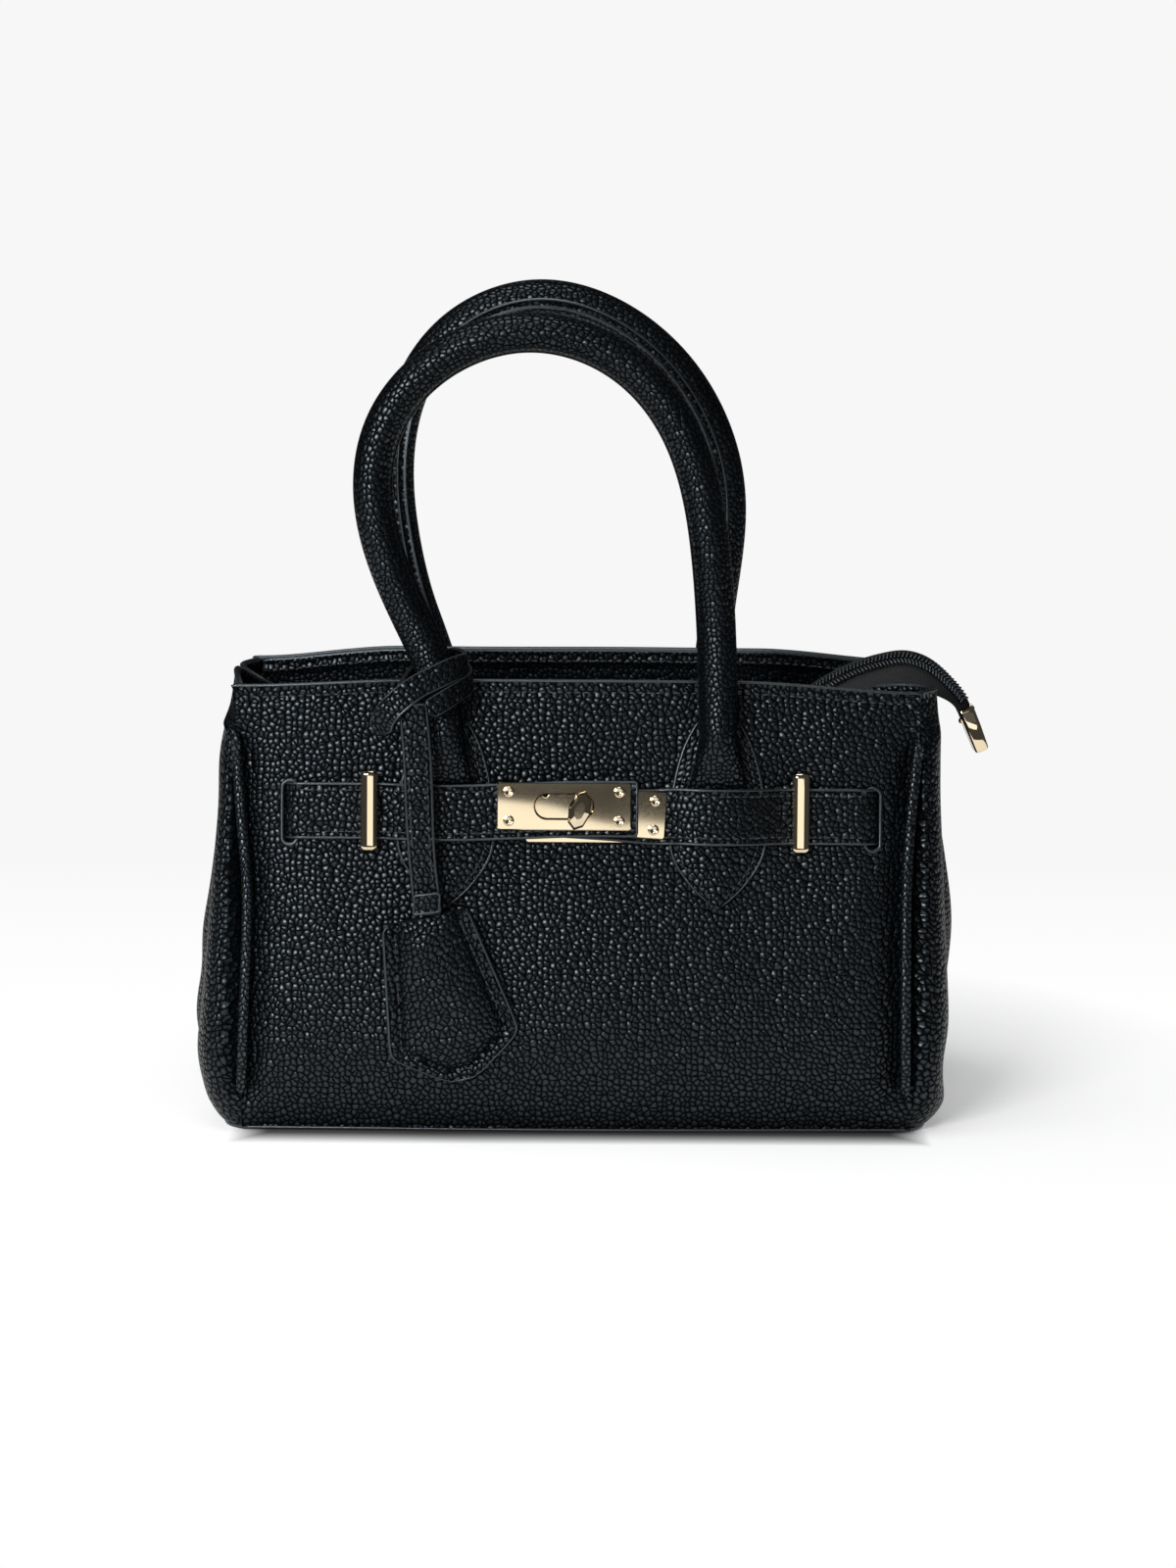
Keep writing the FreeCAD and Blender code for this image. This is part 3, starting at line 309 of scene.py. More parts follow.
def swells(table, x, s):
    return sum(high * mound(x, at_x, wide) * mound(s, at_s, tall) for high, at_x, wide, at_s, tall in table)


def swell(side, x, s):
    """How far the leather bellies out of its drawn surface."""
    out = swells(loose_swells, x, s)
    out = out + 0.5 * np.sin(x / 19.0 + 0.6) * mound(s, 0.0, 16.0) * (1 - ease(np.abs(x), 100, 125))
    for high, at_x, slant, wide, at_s, tall in slant_folds:
        fold = (x - at_x) - (s - fold_start) * slant
        out = out + high * mound(fold, 0.0, wide) * mound(s, at_s, tall)
    if side == front:
        # the belt holds the leather flat and draws it in at its slits
        out = out * (1 - 0.97 * mound(s, belt_drop, 19.0))
        out = out - 0.7 * mound(np.abs(x), slit_middle, 7.0) * mound(s, belt_drop + 0.2, 16.0)
    out = out + swells(firm_swells, x, s)
    out = out - 1.1 * mound(np.abs(x), 81.0, 9.0) * mound(s, belt_drop, 24.0)
    # a shallow dent along the rim's stitching and a groove beside each welt
    out = out - 0.6 * mound(s, 4.2, 1.1)
    z = wall_line(s)[1]
    for hand in (-1, 1):
        off = hand * x - welt_x(hand, z)
        groove = 4.4 * mound(off, 0.0, 7.5) + 2.5 * ease(off, 0.5, 4.0)
        out = out - groove * ease(s, 8, 30) * (1 - ease(s, wall_length - 18, wall_length - 5))
    return out


def welt_x(hand, z):
    """How far out the raised side seam stands at a height."""
    return read_table(welt_line[hand], z)


def leather_point(side, x, s, out):
    """A point on the front or back leather: s along it below the rim, out from its face."""
    x, s, out = matched(x, s, out)
    lift = rim_lift(side, x) * (1 - ease(s, 0, 80))
    y, z, lean = wall_line(s - lift)
    reach = out + swell(side, x, s)
    return points_at(x, -side * (y - reach * np.cos(lean)), z + reach * np.sin(lean))


def leather_row(side, x, s, out, way=1.0):
    """A line on the leather, with the directions that face out of it, or into it when way is negative."""
    line = leather_point(side, x, s, out)
    return line, unit(leather_point(side, x, s, out + way) - line)


def slope_point(x, drop, out):
    """A point on the front's drawn sloping face, where the metal sits."""
    y = -rim_half_depth - drop * math.sin(slope) - out * math.cos(slope)
    return points_at(x, y, rim_height - drop * math.cos(slope) + out * math.sin(slope))


# Meshes

def lay_flat(grid):
    """Each point's distance along its row from the middle column, and down that column."""
    steps = np.linalg.norm(np.diff(grid, axis=1), axis=2)
    across = np.concatenate([np.zeros((len(grid), 1)), np.cumsum(steps, axis=1)], axis=1)
    middle = grid.shape[1] // 2
    across = across - across[:, middle:middle + 1]
    down = run_along(grid[:, middle])
    return np.stack([across, np.repeat(down[:, None], grid.shape[1], axis=1)], -1)


def corners(grid):
    """The four corners of each square of a grid."""
    return np.stack([grid[:-1, :-1], grid[:-1, 1:], grid[1:, 1:], grid[1:, :-1]], axis=2)


def band(a, b):
    """Faces between two closed rings of point numbers."""
    return np.stack([a, b, np.roll(b, -1), np.roll(a, -1)], -1).tolist()


def add_object(name, data):
    obj = bpy.data.objects.new(name, data)
    bpy.context.scene.collection.objects.link(obj)
    return obj


def add_mesh(name, verts, faces, materials, marks=None, grain=None):
    """A smooth mesh; grain holds each face corner's place on the leather laid flat."""
    mesh = bpy.data.meshes.new(name)
    mesh.from_pydata((np.asarray(verts) * mm).tolist(), [], faces)
    if grain is not None:
        mesh.uv_layers.new(name="grain").data.foreach_set("uv", (grain * mm).ravel())
    for material in materials:
        mesh.materials.append(material)
    if marks is not None:
        mesh.polygons.foreach_set("material_index", marks)
    shaped = bmesh.new()
    shaped.from_mesh(mesh)
    bmesh.ops.recalc_face_normals(shaped, faces=shaped.faces)
    shaped.to_mesh(mesh)
    shaped.free()
    mesh.polygons.foreach_set("use_smooth", [True] * len(mesh.polygons))
    return add_object(name, mesh)


def thick_sheet(name, outer, inner, materials, lips=None):
    """A closed sheet between two grids, its border rounded and given the second material.
    Lips holds the radius of a rolled edge along the first row and along the rest of the border."""
    rows, columns = outer.shape[:2]
    block = rows * columns
    verts = np.concatenate([outer.reshape(-1, 3), inner.reshape(-1, 3)])
    index = np.arange(block).reshape(rows, columns)
    quads = corners(index).reshape(-1, 4)
    faces = quads.tolist() + (quads[:, ::-1] + block).tolist()
    marks = [0] * len(faces)
    flat = lay_flat(outer).reshape(-1, 2)
    grain = [flat[quads].reshape(-1, 2), flat[quads[:, ::-1]].reshape(-1, 2)]
    loop = [(0, j) for j in range(columns)] + [(i, columns - 1) for i in range(1, rows)]
    loop += [(rows - 1, j) for j in range(columns - 2, -1, -1)] + [(i, 0) for i in range(rows - 2, 0, -1)]
    i, j = np.array(loop).T
    inside = outer[np.clip(i, 1, rows - 2), np.clip(j, 1, columns - 2)]
    away = unit(outer[i, j] - inside)
    half = (outer[i, j] - inner[i, j]) / 2
    painted = np.full(len(loop), min(1, len(materials) - 1))
    if lips is None:
        middle = (outer[i, j] + inner[i, j]) / 2
        up = half
        size = np.linalg.norm(half, axis=1, keepdims=True)
        angles = (45, 0, -45)
    else:
        size = np.where(i == 0, lips[0], lips[1])[:, None]
        up = unit(half) * size
        middle = outer[i, j] + 0.5 * size * away - 0.35 * up
        angles = (120, 90, 60, 30, 0, -30, -60)
        painted = np.where(size[:, 0] > 0.2, painted, 0)
    rings = [index[i, j]]
    for angle in np.radians(angles):
        rings.append(len(verts) + np.arange(len(loop)))
        verts = np.concatenate([verts, middle + math.sin(angle) * up + math.cos(angle) * size * away])
    rings.append(index[i, j] + block)
    for a, b in zip(rings, rings[1:]):
        faces += band(a, b)
        marks += painted.tolist()
        grain.append(np.zeros((4 * len(loop), 2)))
    return add_mesh(name, verts, faces, materials, marks, np.concatenate(grain))


def wall_sheet(name, side, x, s, top, under, materials, lips=None):
    """A sheet along the front or back, between two distances out from its leather."""
    return thick_sheet(name, leather_point(side, x, s, top), leather_point(side, x, s, under), materials, lips)


def sweep(name, rings, materials, closed=False, marks=None):
    """A closed skin over rings of points; the ends are capped unless the line closes on itself.
    Marks says which points of a ring start a strip of the second material."""
    count, points = rings.shape[:2]
    verts = rings.reshape(-1, 3)
    index = np.arange(count * points).reshape(count, points)
    skin = np.concatenate([index, index[:1]]) if closed else index
    skin = np.concatenate([skin, skin[:, :1]], axis=1)
    faces = corners(skin).reshape(-1, 4).tolist()
    kinds = [0] * len(faces) if marks is None else np.tile(np.asarray(marks, int), len(skin) - 1).tolist()
    grain = corners(lay_flat(verts[skin])).reshape(-1, 2)
    if not closed:
        faces += [index[0].tolist(), index[-1].tolist()]
        kinds += [0, 0]
        grain = np.concatenate([grain, np.zeros((2 * points, 2))])
    return add_mesh(name, verts, faces, materials, kinds, grain)


def tube(name, line, radius, materials, closed=False):
    along = tangents(line, closed)
    across = unit(np.cross(along, towards_viewer))
    turn = round_turn(12)
    rings = rings_round(line, across, np.cross(across, along), radius * np.cos(turn), radius * np.sin(turn))
    return sweep(name, rings, materials, closed)


def beads(name, centres, axes, materials, around=8, rows=5):
    """Many small ovals in one mesh; axes holds each oval's three half axes."""
    centres, axes = np.asarray(centres, float), np.asarray(axes, float)
    shape = [(0.0, 0.0, 1.0)]
    for i in range(1, rows):
        tilt = math.pi * i / rows
        for j in range(around):
            turn = 2 * math.pi * j / around
            shape.append((math.sin(tilt) * math.cos(turn), math.sin(tilt) * math.sin(turn), math.cos(tilt)))
    shape.append((0.0, 0.0, -1.0))
    end = len(shape) - 1
    faces = []
    for j in range(around):
        k = (j + 1) % around
        faces.append((0, 1 + j, 1 + k))
        faces.append((end, end - around + k, end - around + j))
        for i in range(rows - 2):
            low = 1 + i * around
            faces.append((low + j, low + around + j, low + around + k, low + k))
    verts = centres[:, None] + np.einsum("pk,nkd->npd", np.array(shape), axes)
    every = []
    for n in range(len(centres)):
        every += [tuple(v + n * len(shape) for v in f) for f in faces]
    return add_mesh(name, verts.reshape(-1, 3), every, materials)


def dress(obj, body, slot, *replaced):
    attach(obj, body)
    if replaced:
        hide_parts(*replaced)
    return obj


def stitches(name, body, rows, sizes):
    """Sewn rows: each is a line of points with the directions that face out of the leather there."""
    pitch, length, radius = sizes
    centres, axes = [], []
    for line, facing in rows:
        run = run_along(line)
        count = max(2, int(round((run[-1] - pitch) / pitch)))
        at = np.linspace(pitch / 2, run[-1] - pitch / 2, count)
        heading = unit(read_at(at, run, tangents(line)))
        out = unit(read_at(at / run[-1], np.linspace(0, 1, len(line)), facing))
        centres.append(read_at(at, run, line))
        axes.append(np.stack([heading * length / 2, np.cross(heading, out) * radius, out * radius], axis=1))
    dress(beads(name, np.concatenate(centres), np.concatenate(axes), [thread]), body, "leather")


def oval(width, height, count=32):
    """Points round an upright or level slot with round ends."""
    radius = min(width, height) / 2
    turn = round_turn(count) + math.pi / count
    x = radius * np.cos(turn) + np.sign(np.cos(turn)) * (width / 2 - radius)
    z = radius * np.sin(turn) + np.sign(np.sin(turn)) * (height / 2 - radius)
    return x, z


def turned(x, z, degrees):
    """Turns level and upright distances clockwise, as the viewer sees them."""
    a = math.radians(degrees)
    return x * math.cos(a) + z * math.sin(a), z * math.cos(a) - x * math.sin(a)


def cut_slot(obj, x, z, middle_x, middle_drop, deep):
    """Takes a slot with the outline x, z out of a piece on the sloping face."""
    rings = [slope_point(middle_x + x, middle_drop - z, out) for out in (-deep, deep)]
    cutter = sweep("cutter", np.array(rings), edged_pebble)
    modifier = obj.modifiers.new("cut", "BOOLEAN")
    modifier.object = cutter
    modifier.operation = "DIFFERENCE"
    modifier.solver = "EXACT"
    seen = obj.evaluated_get(bpy.context.evaluated_depsgraph_get())
    mesh = bpy.data.meshes.new_from_object(seen)
    obj.modifiers.clear()
    obj.data = mesh
    bpy.data.objects.remove(cutter)


def crisp(obj, degrees=32.0):
    """Keeps a metal piece's corners sharp."""
    obj.data.set_sharp_from_angle(angle=math.radians(degrees))
    return obj


# Materials

def material(name):
    made = bpy.data.materials.new(name)
    made.use_nodes = True
    tree = made.node_tree
    return made, tree, tree.nodes["Principled BSDF"]


def feed(tree, socket, value):
    """Gives an input a number, a colour or another node's output."""
    if isinstance(value, bpy.types.NodeSocket):
        tree.links.new(value, socket)
    else:
        socket.default_value = value


def settle(tree, made, **values):
    """Sets a node's options and, by their names, its inputs."""
    for key, value in values.items():
        if hasattr(made, key):
            setattr(made, key, value)
        else:
            feed(tree, made.inputs[key.replace("_", " ")], value)


def node(tree, kind, *inputs, **values):
    """A new node's outputs; its first inputs are given in order and the rest by name."""
    made = tree.nodes.new("ShaderNode" + kind)
    settle(tree, made, **values)
    for socket, value in zip(made.inputs, inputs):
        feed(tree, socket, value)
    return made.outputs


def place(tree, space="Object"):
    return node(tree, "TexCoord")[space]


def mapped(tree, value, low, high, to_low, to_high):
    return node(tree, "MapRange", value, low, high, to_low, to_high, clamp=True)["Result"]


def ramp_colour(tree, value, dark, light):
    return node(tree, "Mix", data_type="RGBA", Factor=value, A=(*dark, 1), B=(*light, 1))[2]


def calc(tree, operation, a, b):
    return node(tree, "Math", a, b, operation=operation)[0]


def noise(tree, at, scale, detail=2.0):
    return node(tree, "TexNoise", at, Scale=scale, Detail=detail)


def bump(tree, height, strength, distance, **before):
    return node(tree, "Bump", Strength=strength, Distance=distance, Height=height, **before)["Normal"]


def pebbled_leather(name, cell, depth, shine=0.62):
    """Black grained leather: domed pebbles of uneven size between creases, with pores. Painted shade darkens
    the creases in colour and in specular level.
    """
    made, tree, shader = material(name)
    at = place(tree)
    flat = place(tree, "UV")
    drift = noise(tree, flat, 210.0)["Color"]
    shift = node(tree, "VectorMath", drift, (0.0009, 0.0009, 0.0), flat, operation="MULTIPLY_ADD")[0]
    edge, dome = (node(tree, "TexVoronoi", shift, voronoi_dimensions="2D", feature=feature,
                       Scale=1 / (cell * mm), Randomness=0.9)["Distance"]
                  for feature in ("DISTANCE_TO_EDGE", "F1"))
    top = calc(tree, "SUBTRACT", 1.0, calc(tree, "MULTIPLY", calc(tree, "MULTIPLY", dome, dome), 1.8))
    crease_relief_and_shade = mapped(tree, edge, 0.0, 0.17, 0.0, 1.0)
    height = calc(tree, "ADD", top, calc(tree, "MULTIPLY", crease_relief_and_shade, 0.3))
    pores = noise(tree, at, 2600.0, 3.0)[0]
    patches = noise(tree, at, 34.0, 3.0)[0]
    # painted shade: the colour darkens into the creases
    tone = calc(tree, "MULTIPLY", crease_relief_and_shade, patches)
    rough = calc(tree, "ADD", mapped(tree, crease_relief_and_shade, 0.0, 1.0, 0.55, 0.33),
                 mapped(tree, patches, 0.3, 0.7, -0.04, 0.05))
    settle(tree, shader, Specular_IOR_Level=0.6 * shine, Specular_Tint=leather_tint)
    # painted shade: the specular level falls away towards the creases
    settle(tree, shader, Base_Color=ramp_colour(tree, tone, (0.0004, 0.0007, 0.0011), (0.0022, 0.0032, 0.0043)),
           Roughness=rough, Specular_IOR_Level=mapped(tree, edge, 0.03, 0.42, 0.02, 1.12 * shine),
           Normal=bump(tree, height, 1.0, depth * mm, Normal=bump(tree, pores, 0.2, 0.00006)))
    return made


def mottled(name, scale, detail, dark, light, rough, relief, **extra):
    """A plain finish with a clouded colour, roughness and relief."""
    made, tree, shader = material(name)
    cloud = noise(tree, place(tree), scale, detail)[0]
    settle(tree, shader, Base_Color=ramp_colour(tree, cloud, dark, light),
           Roughness=mapped(tree, cloud, 0.3, 0.7, *rough), Normal=bump(tree, cloud, *relief), **extra)
    return made


def painted_edge(name):
    """Smooth sealed leather edges, a little lighter than the grain."""
    return mottled(name, 420.0, 3.0, (0.003, 0.0036, 0.0042), (0.009, 0.010, 0.011), (0.32, 0.42),
                   (0.25, 0.0003), Specular_IOR_Level=1.0, Specular_Tint=leather_tint)


def sewing_thread():
    made, tree, shader = material("thread")
    twist = node(tree, "TexWave", place(tree), Scale=900.0, Distortion=1.5)["Fac"]
    settle(tree, shader, Base_Color=ramp_colour(tree, twist, (0.018, 0.020, 0.022), (0.06, 0.066, 0.072)),
           Roughness=mapped(tree, twist, 0.0, 1.0, 0.4, 0.6), Normal=bump(tree, twist, 0.4, 0.0001))
    return made


def polished_gold():
    """Pale plated metal with faint hairlines and a slightly wavy polish."""
    made, tree, shader = material("champagne_gold")
    at = place(tree)
    cloud = noise(tree, at, 38.0, 0.0)[0]
    fine = noise(tree, at, 1900.0, 2.0)[0]
    settle(tree, shader, Base_Color=ramp_colour(tree, cloud, (0.78, 0.63, 0.41), (0.90, 0.77, 0.55)),
           Roughness=mapped(tree, fine, 0.3, 0.7, 0.03, 0.045), Metallic=1.0,
           Normal=bump(tree, cloud, 0.12, 0.0008))
    return made


def woven(name, dark, light, thread_size, rough):
    """Plain weave: two crossed sets of threads."""
    made, tree, shader = material(name)
    at = place(tree)
    scale = 0.31 / (thread_size * mm)
    sets = [node(tree, "TexWave", at, bands_direction=axis, Scale=scale, Distortion=0.6)["Fac"]
            for axis in ("X", "Z")]
    weave = calc(tree, "MAXIMUM", *sets)
    tone = calc(tree, "MULTIPLY", weave, noise(tree, at, 300.0, 3.0)[0])
    settle(tree, shader, Base_Color=ramp_colour(tree, tone, dark, light),
           Roughness=mapped(tree, weave, 0.0, 1.0, rough + 0.15, rough),
           Normal=bump(tree, weave, 0.6, thread_size * 0.3 * mm))
    return made


leather_tint = (0.80, 0.92, 1.0, 1)
pebbled = pebbled_leather("pebbled_leather", 2.25, 0.40)
small_grain = pebbled_leather("small_grain_leather", 2.0, 0.25)
rolled_grain = pebbled_leather("rolled_grain_leather", 2.0, 0.2, 1.0)
edge_paint = painted_edge("edge_paint")
zip_teeth_finish = painted_edge("zip_teeth_finish")
thread = sewing_thread()
gold = polished_gold()
lining_cloth = woven("lining_cloth", (0.008, 0.009, 0.01), (0.03, 0.032, 0.035), 0.5, 0.6)
zip_tape_cloth = woven("zip_tape_cloth", (0.002, 0.0024, 0.003), (0.009, 0.010, 0.0115), 0.7, 0.7)
board = mottled("fibre_board", 700.0, 4.0, (0.09, 0.07, 0.05), (0.2, 0.16, 0.11), (0.7, 0.9), (0.3, 0.0003))
edged_pebble, edged_small_grain = [pebbled, edge_paint], [small_grain, edge_paint]


# Body

def panel(side):
    name = side_name[side]
    rows = np.concatenate([np.linspace(0, 10, 11)[:-1], np.linspace(10, wall_length, 100)])
    s, u = lattice(rows, np.linspace(-1, 1, 171))
    z = wall_line(s)[1]
    x = u * np.where(u < 0, edge_x(-1, z), edge_x(1, z))
    obj = wall_sheet(name + "_leather", side, x, s, 0.0, -leather, edged_pebble, wall_lips)
    if side == front:
        for hand in (-1, 1):
            cut_slot(obj, *oval(slit_width, slit_height), hand * slit_middle, strap_drop[hand], deep=7.0)
    dress(obj, "bag", "leather", name + "_panel")


def slit_lips():
    for hand, word in hands:
        x, z = oval(slit_width + 1.0, slit_height + 1.0, 72)
        line = leather_point(front, hand * slit_middle + x, strap_drop[hand] - z, out=0.25)
        binding = tube(word + "_slit_binding", line, 0.75, [edge_paint], closed=True)
        dress(binding, "bag", "leather")


def side_grid(hand, low, high, rows, columns):
    """A gusset's soft folded surface between two heights, from the front seam to the back."""
    heights = low + (high - low) * np.linspace(0, 1, rows) ** 1.25
    grid = np.zeros((rows, columns, 3))
    for i, z in enumerate(heights):
        depth = float(half_depth(z))
        share = math.sin(math.pi * min(z / rim_height, 1.0) ** 0.4)
        rise = (z / rim_height) ** 2
        seam = edge_x(hand, z) - 0.2
        tuck = tuck_fill * share - rim_tuck * rise
        sunk = seam_sink * float(ease(rim_height - z, 8, 30) * ease(z, 5, 18))
        bulge = front_hump * share
        folds = np.array([mound(z, fold[0], fold[1]) * np.array(fold[2:]) for fold in side_folds[hand]])
        near, far = folds.sum(axis=0) + (bulge + front_rim_hump[hand] * rise,
                                         rear_hump[hand] * share + rim_hump[hand] * rise)
        pillow = 0.45 * bulge + (0.3 * front_rim_hump[hand] - 1.0) * rise
        points = np.array([(seam, 1.0 + sunk - depth, z), (seam + pillow, 2.5 - depth, z),
                           (seam + near, -hump_place * depth, z), (seam + tuck, 0.0, z),
                           (seam + far, hump_place * depth, z),
                           (seam + pillow, depth - 2.5, z), (seam, depth - 1.0 - sunk, z)])
        grid[i] = curve_through(points, columns)
    across = np.linspace(0, 1, columns)[None, :]
    up = ease(grid[:, :, 2], 95, rim_height)
    dip = rim_dip[hand] * mound(across, 0.52, 0.17) - rim_ear[hand] * mound(across, 0.2, 0.09)
    grid[:, :, 2] -= up * (rim_sag[hand] * (1 - across) + back_sag * across + dip)
    grid[:, :, 0] -= 1.5 * (mound(across, 0.5, 0.06) * ease(grid[:, :, 2], 40, 120))
    grid[:, :, 0] += np.sin(grid[:, :, 2] / 17.0 + 5 * across) * np.sin(math.pi * across) * 0.5
    grid[:, :, 0] *= hand
    return grid


def outward(grid, hand):
    """The directions that face out of a gusset's surface."""
    out = unit(np.cross(np.gradient(grid, axis=0), np.gradient(grid, axis=1)))
    return out * np.sign(hand * out[..., :1] + 1e-9)


def gusset(hand, word):
    outer = side_grid(hand, floor_gap, rim_height, 90, 90)
    inner = outer - leather * outward(outer, hand)
    obj = thick_sheet(word + "_side_leather", outer[::-1], inner[::-1], edged_pebble, wall_lips)
    dress(obj, "bag", "leather", word + "_gusset")
    inside = side_grid(hand, 6.0, rim_height - 6.0, 50, 60)
    inside[:, :, 1] *= 0.94
    out = outward(inside, hand)
    inside = inside - (leather + 0.5) * out
    obj = thick_sheet(word + "_side_lining", inside, inside - lining_thickness * out, [lining_cloth])
    dress(obj, "bag", "lining", word + "_lining")


def inner_wall(side):
    """The leather facing below the rim and the cloth lining under it."""
    name = side_name[side]
    for word, low_s, high_s, outer, thick, skin, slot in (
            ("facing", 0.0, 32.0, facing_out, facing_thickness, edged_small_grain, "leather"),
            ("lining", 26.0, wall_length - 5.0, lining_out, lining_thickness, [lining_cloth], "lining")):
        s, u = lattice(np.linspace(low_s, high_s, 40), np.linspace(-1, 1, 90))
        x = u * (half_width(wall_line(s)[1]) - leather - 0.3)
        if side == front:
            # room for the belt's ends behind their slits
            outer = outer - 4.5 * mound(np.abs(x), 114.0, 8.0) * mound(s, belt_drop, 14.0)
        obj = wall_sheet(name + "_inner_" + word, side, x, s, outer, outer - thick, skin)
        dress(obj, "bag", slot, name + "_" + word)


def flat_layer(name, low, thickness, inset, skin, slot, *replaced):
    """A level sheet of the base, reaching out to the soft gussets at its own height."""
    y = np.linspace(-1, 1, 61) * (floor_half_depth - inset)
    ends = []
    for hand in (-1, 1):
        line = side_grid(hand, max(low, floor_gap), rim_height, 2, 160)[0]
        ends.append(np.interp(y, line[:, 1], line[:, 0]) - hand * inset)
    x = ends[0][:, None] + np.linspace(0, 1, 81)[None, :] * (ends[1] - ends[0])[:, None]
    top = points_at(x, y[:, None], low + thickness)
    obj = thick_sheet(name, top, top - np.array([0, 0, thickness]), skin)
    dress(obj, "bag", slot, *replaced)


def welt(side, hand, word):
    """The raised seam beside a gusset, two turned edges sewn together."""
    low = drop_to(welt_foot)
    s = np.linspace(welt_drop, low, 130)
    base, out = leather_row(side, hand * welt_x(hand, wall_line(s)[1]), s, welt_out)
    across = np.cross(tangents(base), out)
    fade = np.sqrt(np.clip(np.minimum(s - welt_drop, low - s) / welt_fade, 0.0, 1.0) * 0.97 + 0.03)
    turn = round_turn(28)
    wide = squared(np.cos(turn), 0.9) * welt_half
    high = np.where(np.sin(turn) > 0, welt_top, welt_root) * np.sin(turn)
    ring = rings_round(base, across, out, wide, high + welt_lift)
    ring = base[:, None] + fade[:, None, None] * (ring - base[:, None])
    name = side_name[side] + "_" + word
    dress(sweep(name + "_piping", ring, [rolled_grain]), "bag", "leather", name + "_welt")


def base_edge(side):
    """The bound seam where the wall meets the base."""
    name = side_name[side]
    x = np.linspace(-floor_half_width - 1.0, floor_half_width - 0.5, 120)
    base = leather_point(side, x, wall_length - 0.6, out=0.9)
    dress(tube(name + "_base_binding", base, 0.6, [edge_paint]), "bag", "leather", name + "_base_edge")


def body_stitching():
    """A row along each rim, seen on the leather and on the facing behind it."""
    rows = []
    for side in (front, back):
        x = np.linspace(-rim_seam_end, rim_seam_end, 240)
        rows.append(leather_row(side, x, rim_seam_drop, 0.05))
        rows.append(leather_row(side, x, rim_seam_drop, facing_out - facing_thickness - 0.05, -1.0))
    stitches("rim_stitching", "bag", rows, rim_thread)


# Handles

handle_pivot_y = float(slope_point(0, -pivot_climb, handle_out)[1])


def handle_line(side):
    """The handle's middle line from foot to foot, with its half width and half depth at each point."""
    left, right = handle_leans[side]
    climb = stub_drop + pivot_climb

    def leg(hand, lean):
        start = hand * handle_half_span
        made = [(*slope_point(start, drop, out), wide, deep) for drop, out, wide, deep in foot_tube[::-1]]
        for share in (0.35, 0.7):
            spot = slope_point(start + lean * share ** lean_power[side], stub_drop - share * climb, handle_out)
            made.append((*spot, handle_radius, handle_radius))
        return made

    low_x, high_x = -handle_half_span + left, handle_half_span + right
    points = leg(-1, left)
    for share, rise in handle_shape[side]:
        x = (low_x + high_x) / 2 + share * (high_x - low_x) / 2
        points.append((x, handle_pivot_y, pivot_z + rise * handle_rise[side], handle_radius, handle_radius))
    points += leg(1, right)[::-1]
    return curve_through(points, 420)


def handle(side):
    """A rolled tube, its leather's edges meeting in a flat strip between two raised lines on the inner side."""
    name = side_name[side]
    line = handle_line(side)
    along = tangents(line[:, :3])
    over = unit(towards_viewer - along * (along @ towards_viewer)[:, None])
    out = np.cross(over, along)
    turn = round_turn(144)
    off = np.abs((np.degrees(turn) - handle_seam[side] + 180) % 360 - 180)
    ridge = 0.8 * mound(off, strip_half, 3.2) - 0.35 * mound(off, 0.0, 8.0)
    grown = 1 + ridge / handle_radius
    rings = rings_round(line[:, :3], line[:, 3:4] * out, line[:, 4:5] * over,
                        np.cos(turn) * grown, np.sin(turn) * grown) * np.array([1.0, -side, 1.0])
    painted = np.abs(off - strip_half) < strip_paint
    obj = sweep(name + "_handle_leather", rings, edged_small_grain, marks=painted)
    body = name + "_handle"
    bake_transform(obj)
    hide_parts(body + "_cover", body + "_core")


def foot_half_width(s):
    return read_table(foot_outline, s)


def foot_plate(side, hand, word):
    """A pear-shaped foot whose leather runs up over the handle's end."""
    name = side_name[side] + "_" + word
    s, u = lattice(np.linspace(foot_outline[0][0], foot_outline[-1][0], 100), np.linspace(-1, 1, 61))
    off = u * foot_half_width(s)
    drops, middle, wide, deep = np.array(foot_tube).T
    arch = np.sqrt(np.maximum(1 - (off / np.interp(s, drops, wide)) ** 2, 0.0))
    tube_top = np.interp(s, drops, middle) + np.interp(s, drops, deep) * arch - 1.0 + 1.3 * ease(s, 21, 28)
    plate = 1.8 + 1.6 * (1 - u ** 2) * ease(s, 14, 30)
    soft = 0.7
    top = soft * np.logaddexp(plate / soft, np.where(arch > 0, tube_top, 0.0) / soft)
    x = hand * handle_half_span + off
    obj = wall_sheet(name + "_foot_leather", side, x, s, top, 0.1, edged_pebble, lips=(0.3, 0.7))
    dress(obj, "bag", "leather", name + "_handle_base")


def foot_stitching():
    """A row just inside each foot's edge, down one side and up the other."""
    top, low, count = 18, 80.5, 120
    s = np.concatenate([np.linspace(top, low, count), np.linspace(low, top, count)])
    sign = np.repeat([-1.0, 1.0], count)
    rows = []
    for side in (front, back):
        for hand in (-1, 1):
            x = hand * handle_half_span + sign * np.maximum(foot_half_width(s) - 2.4, 0.4)
            rows.append(leather_row(side, x, s, 2.7))
    stitches("foot_stitching", "bag", rows, foot_thread)


# Belt

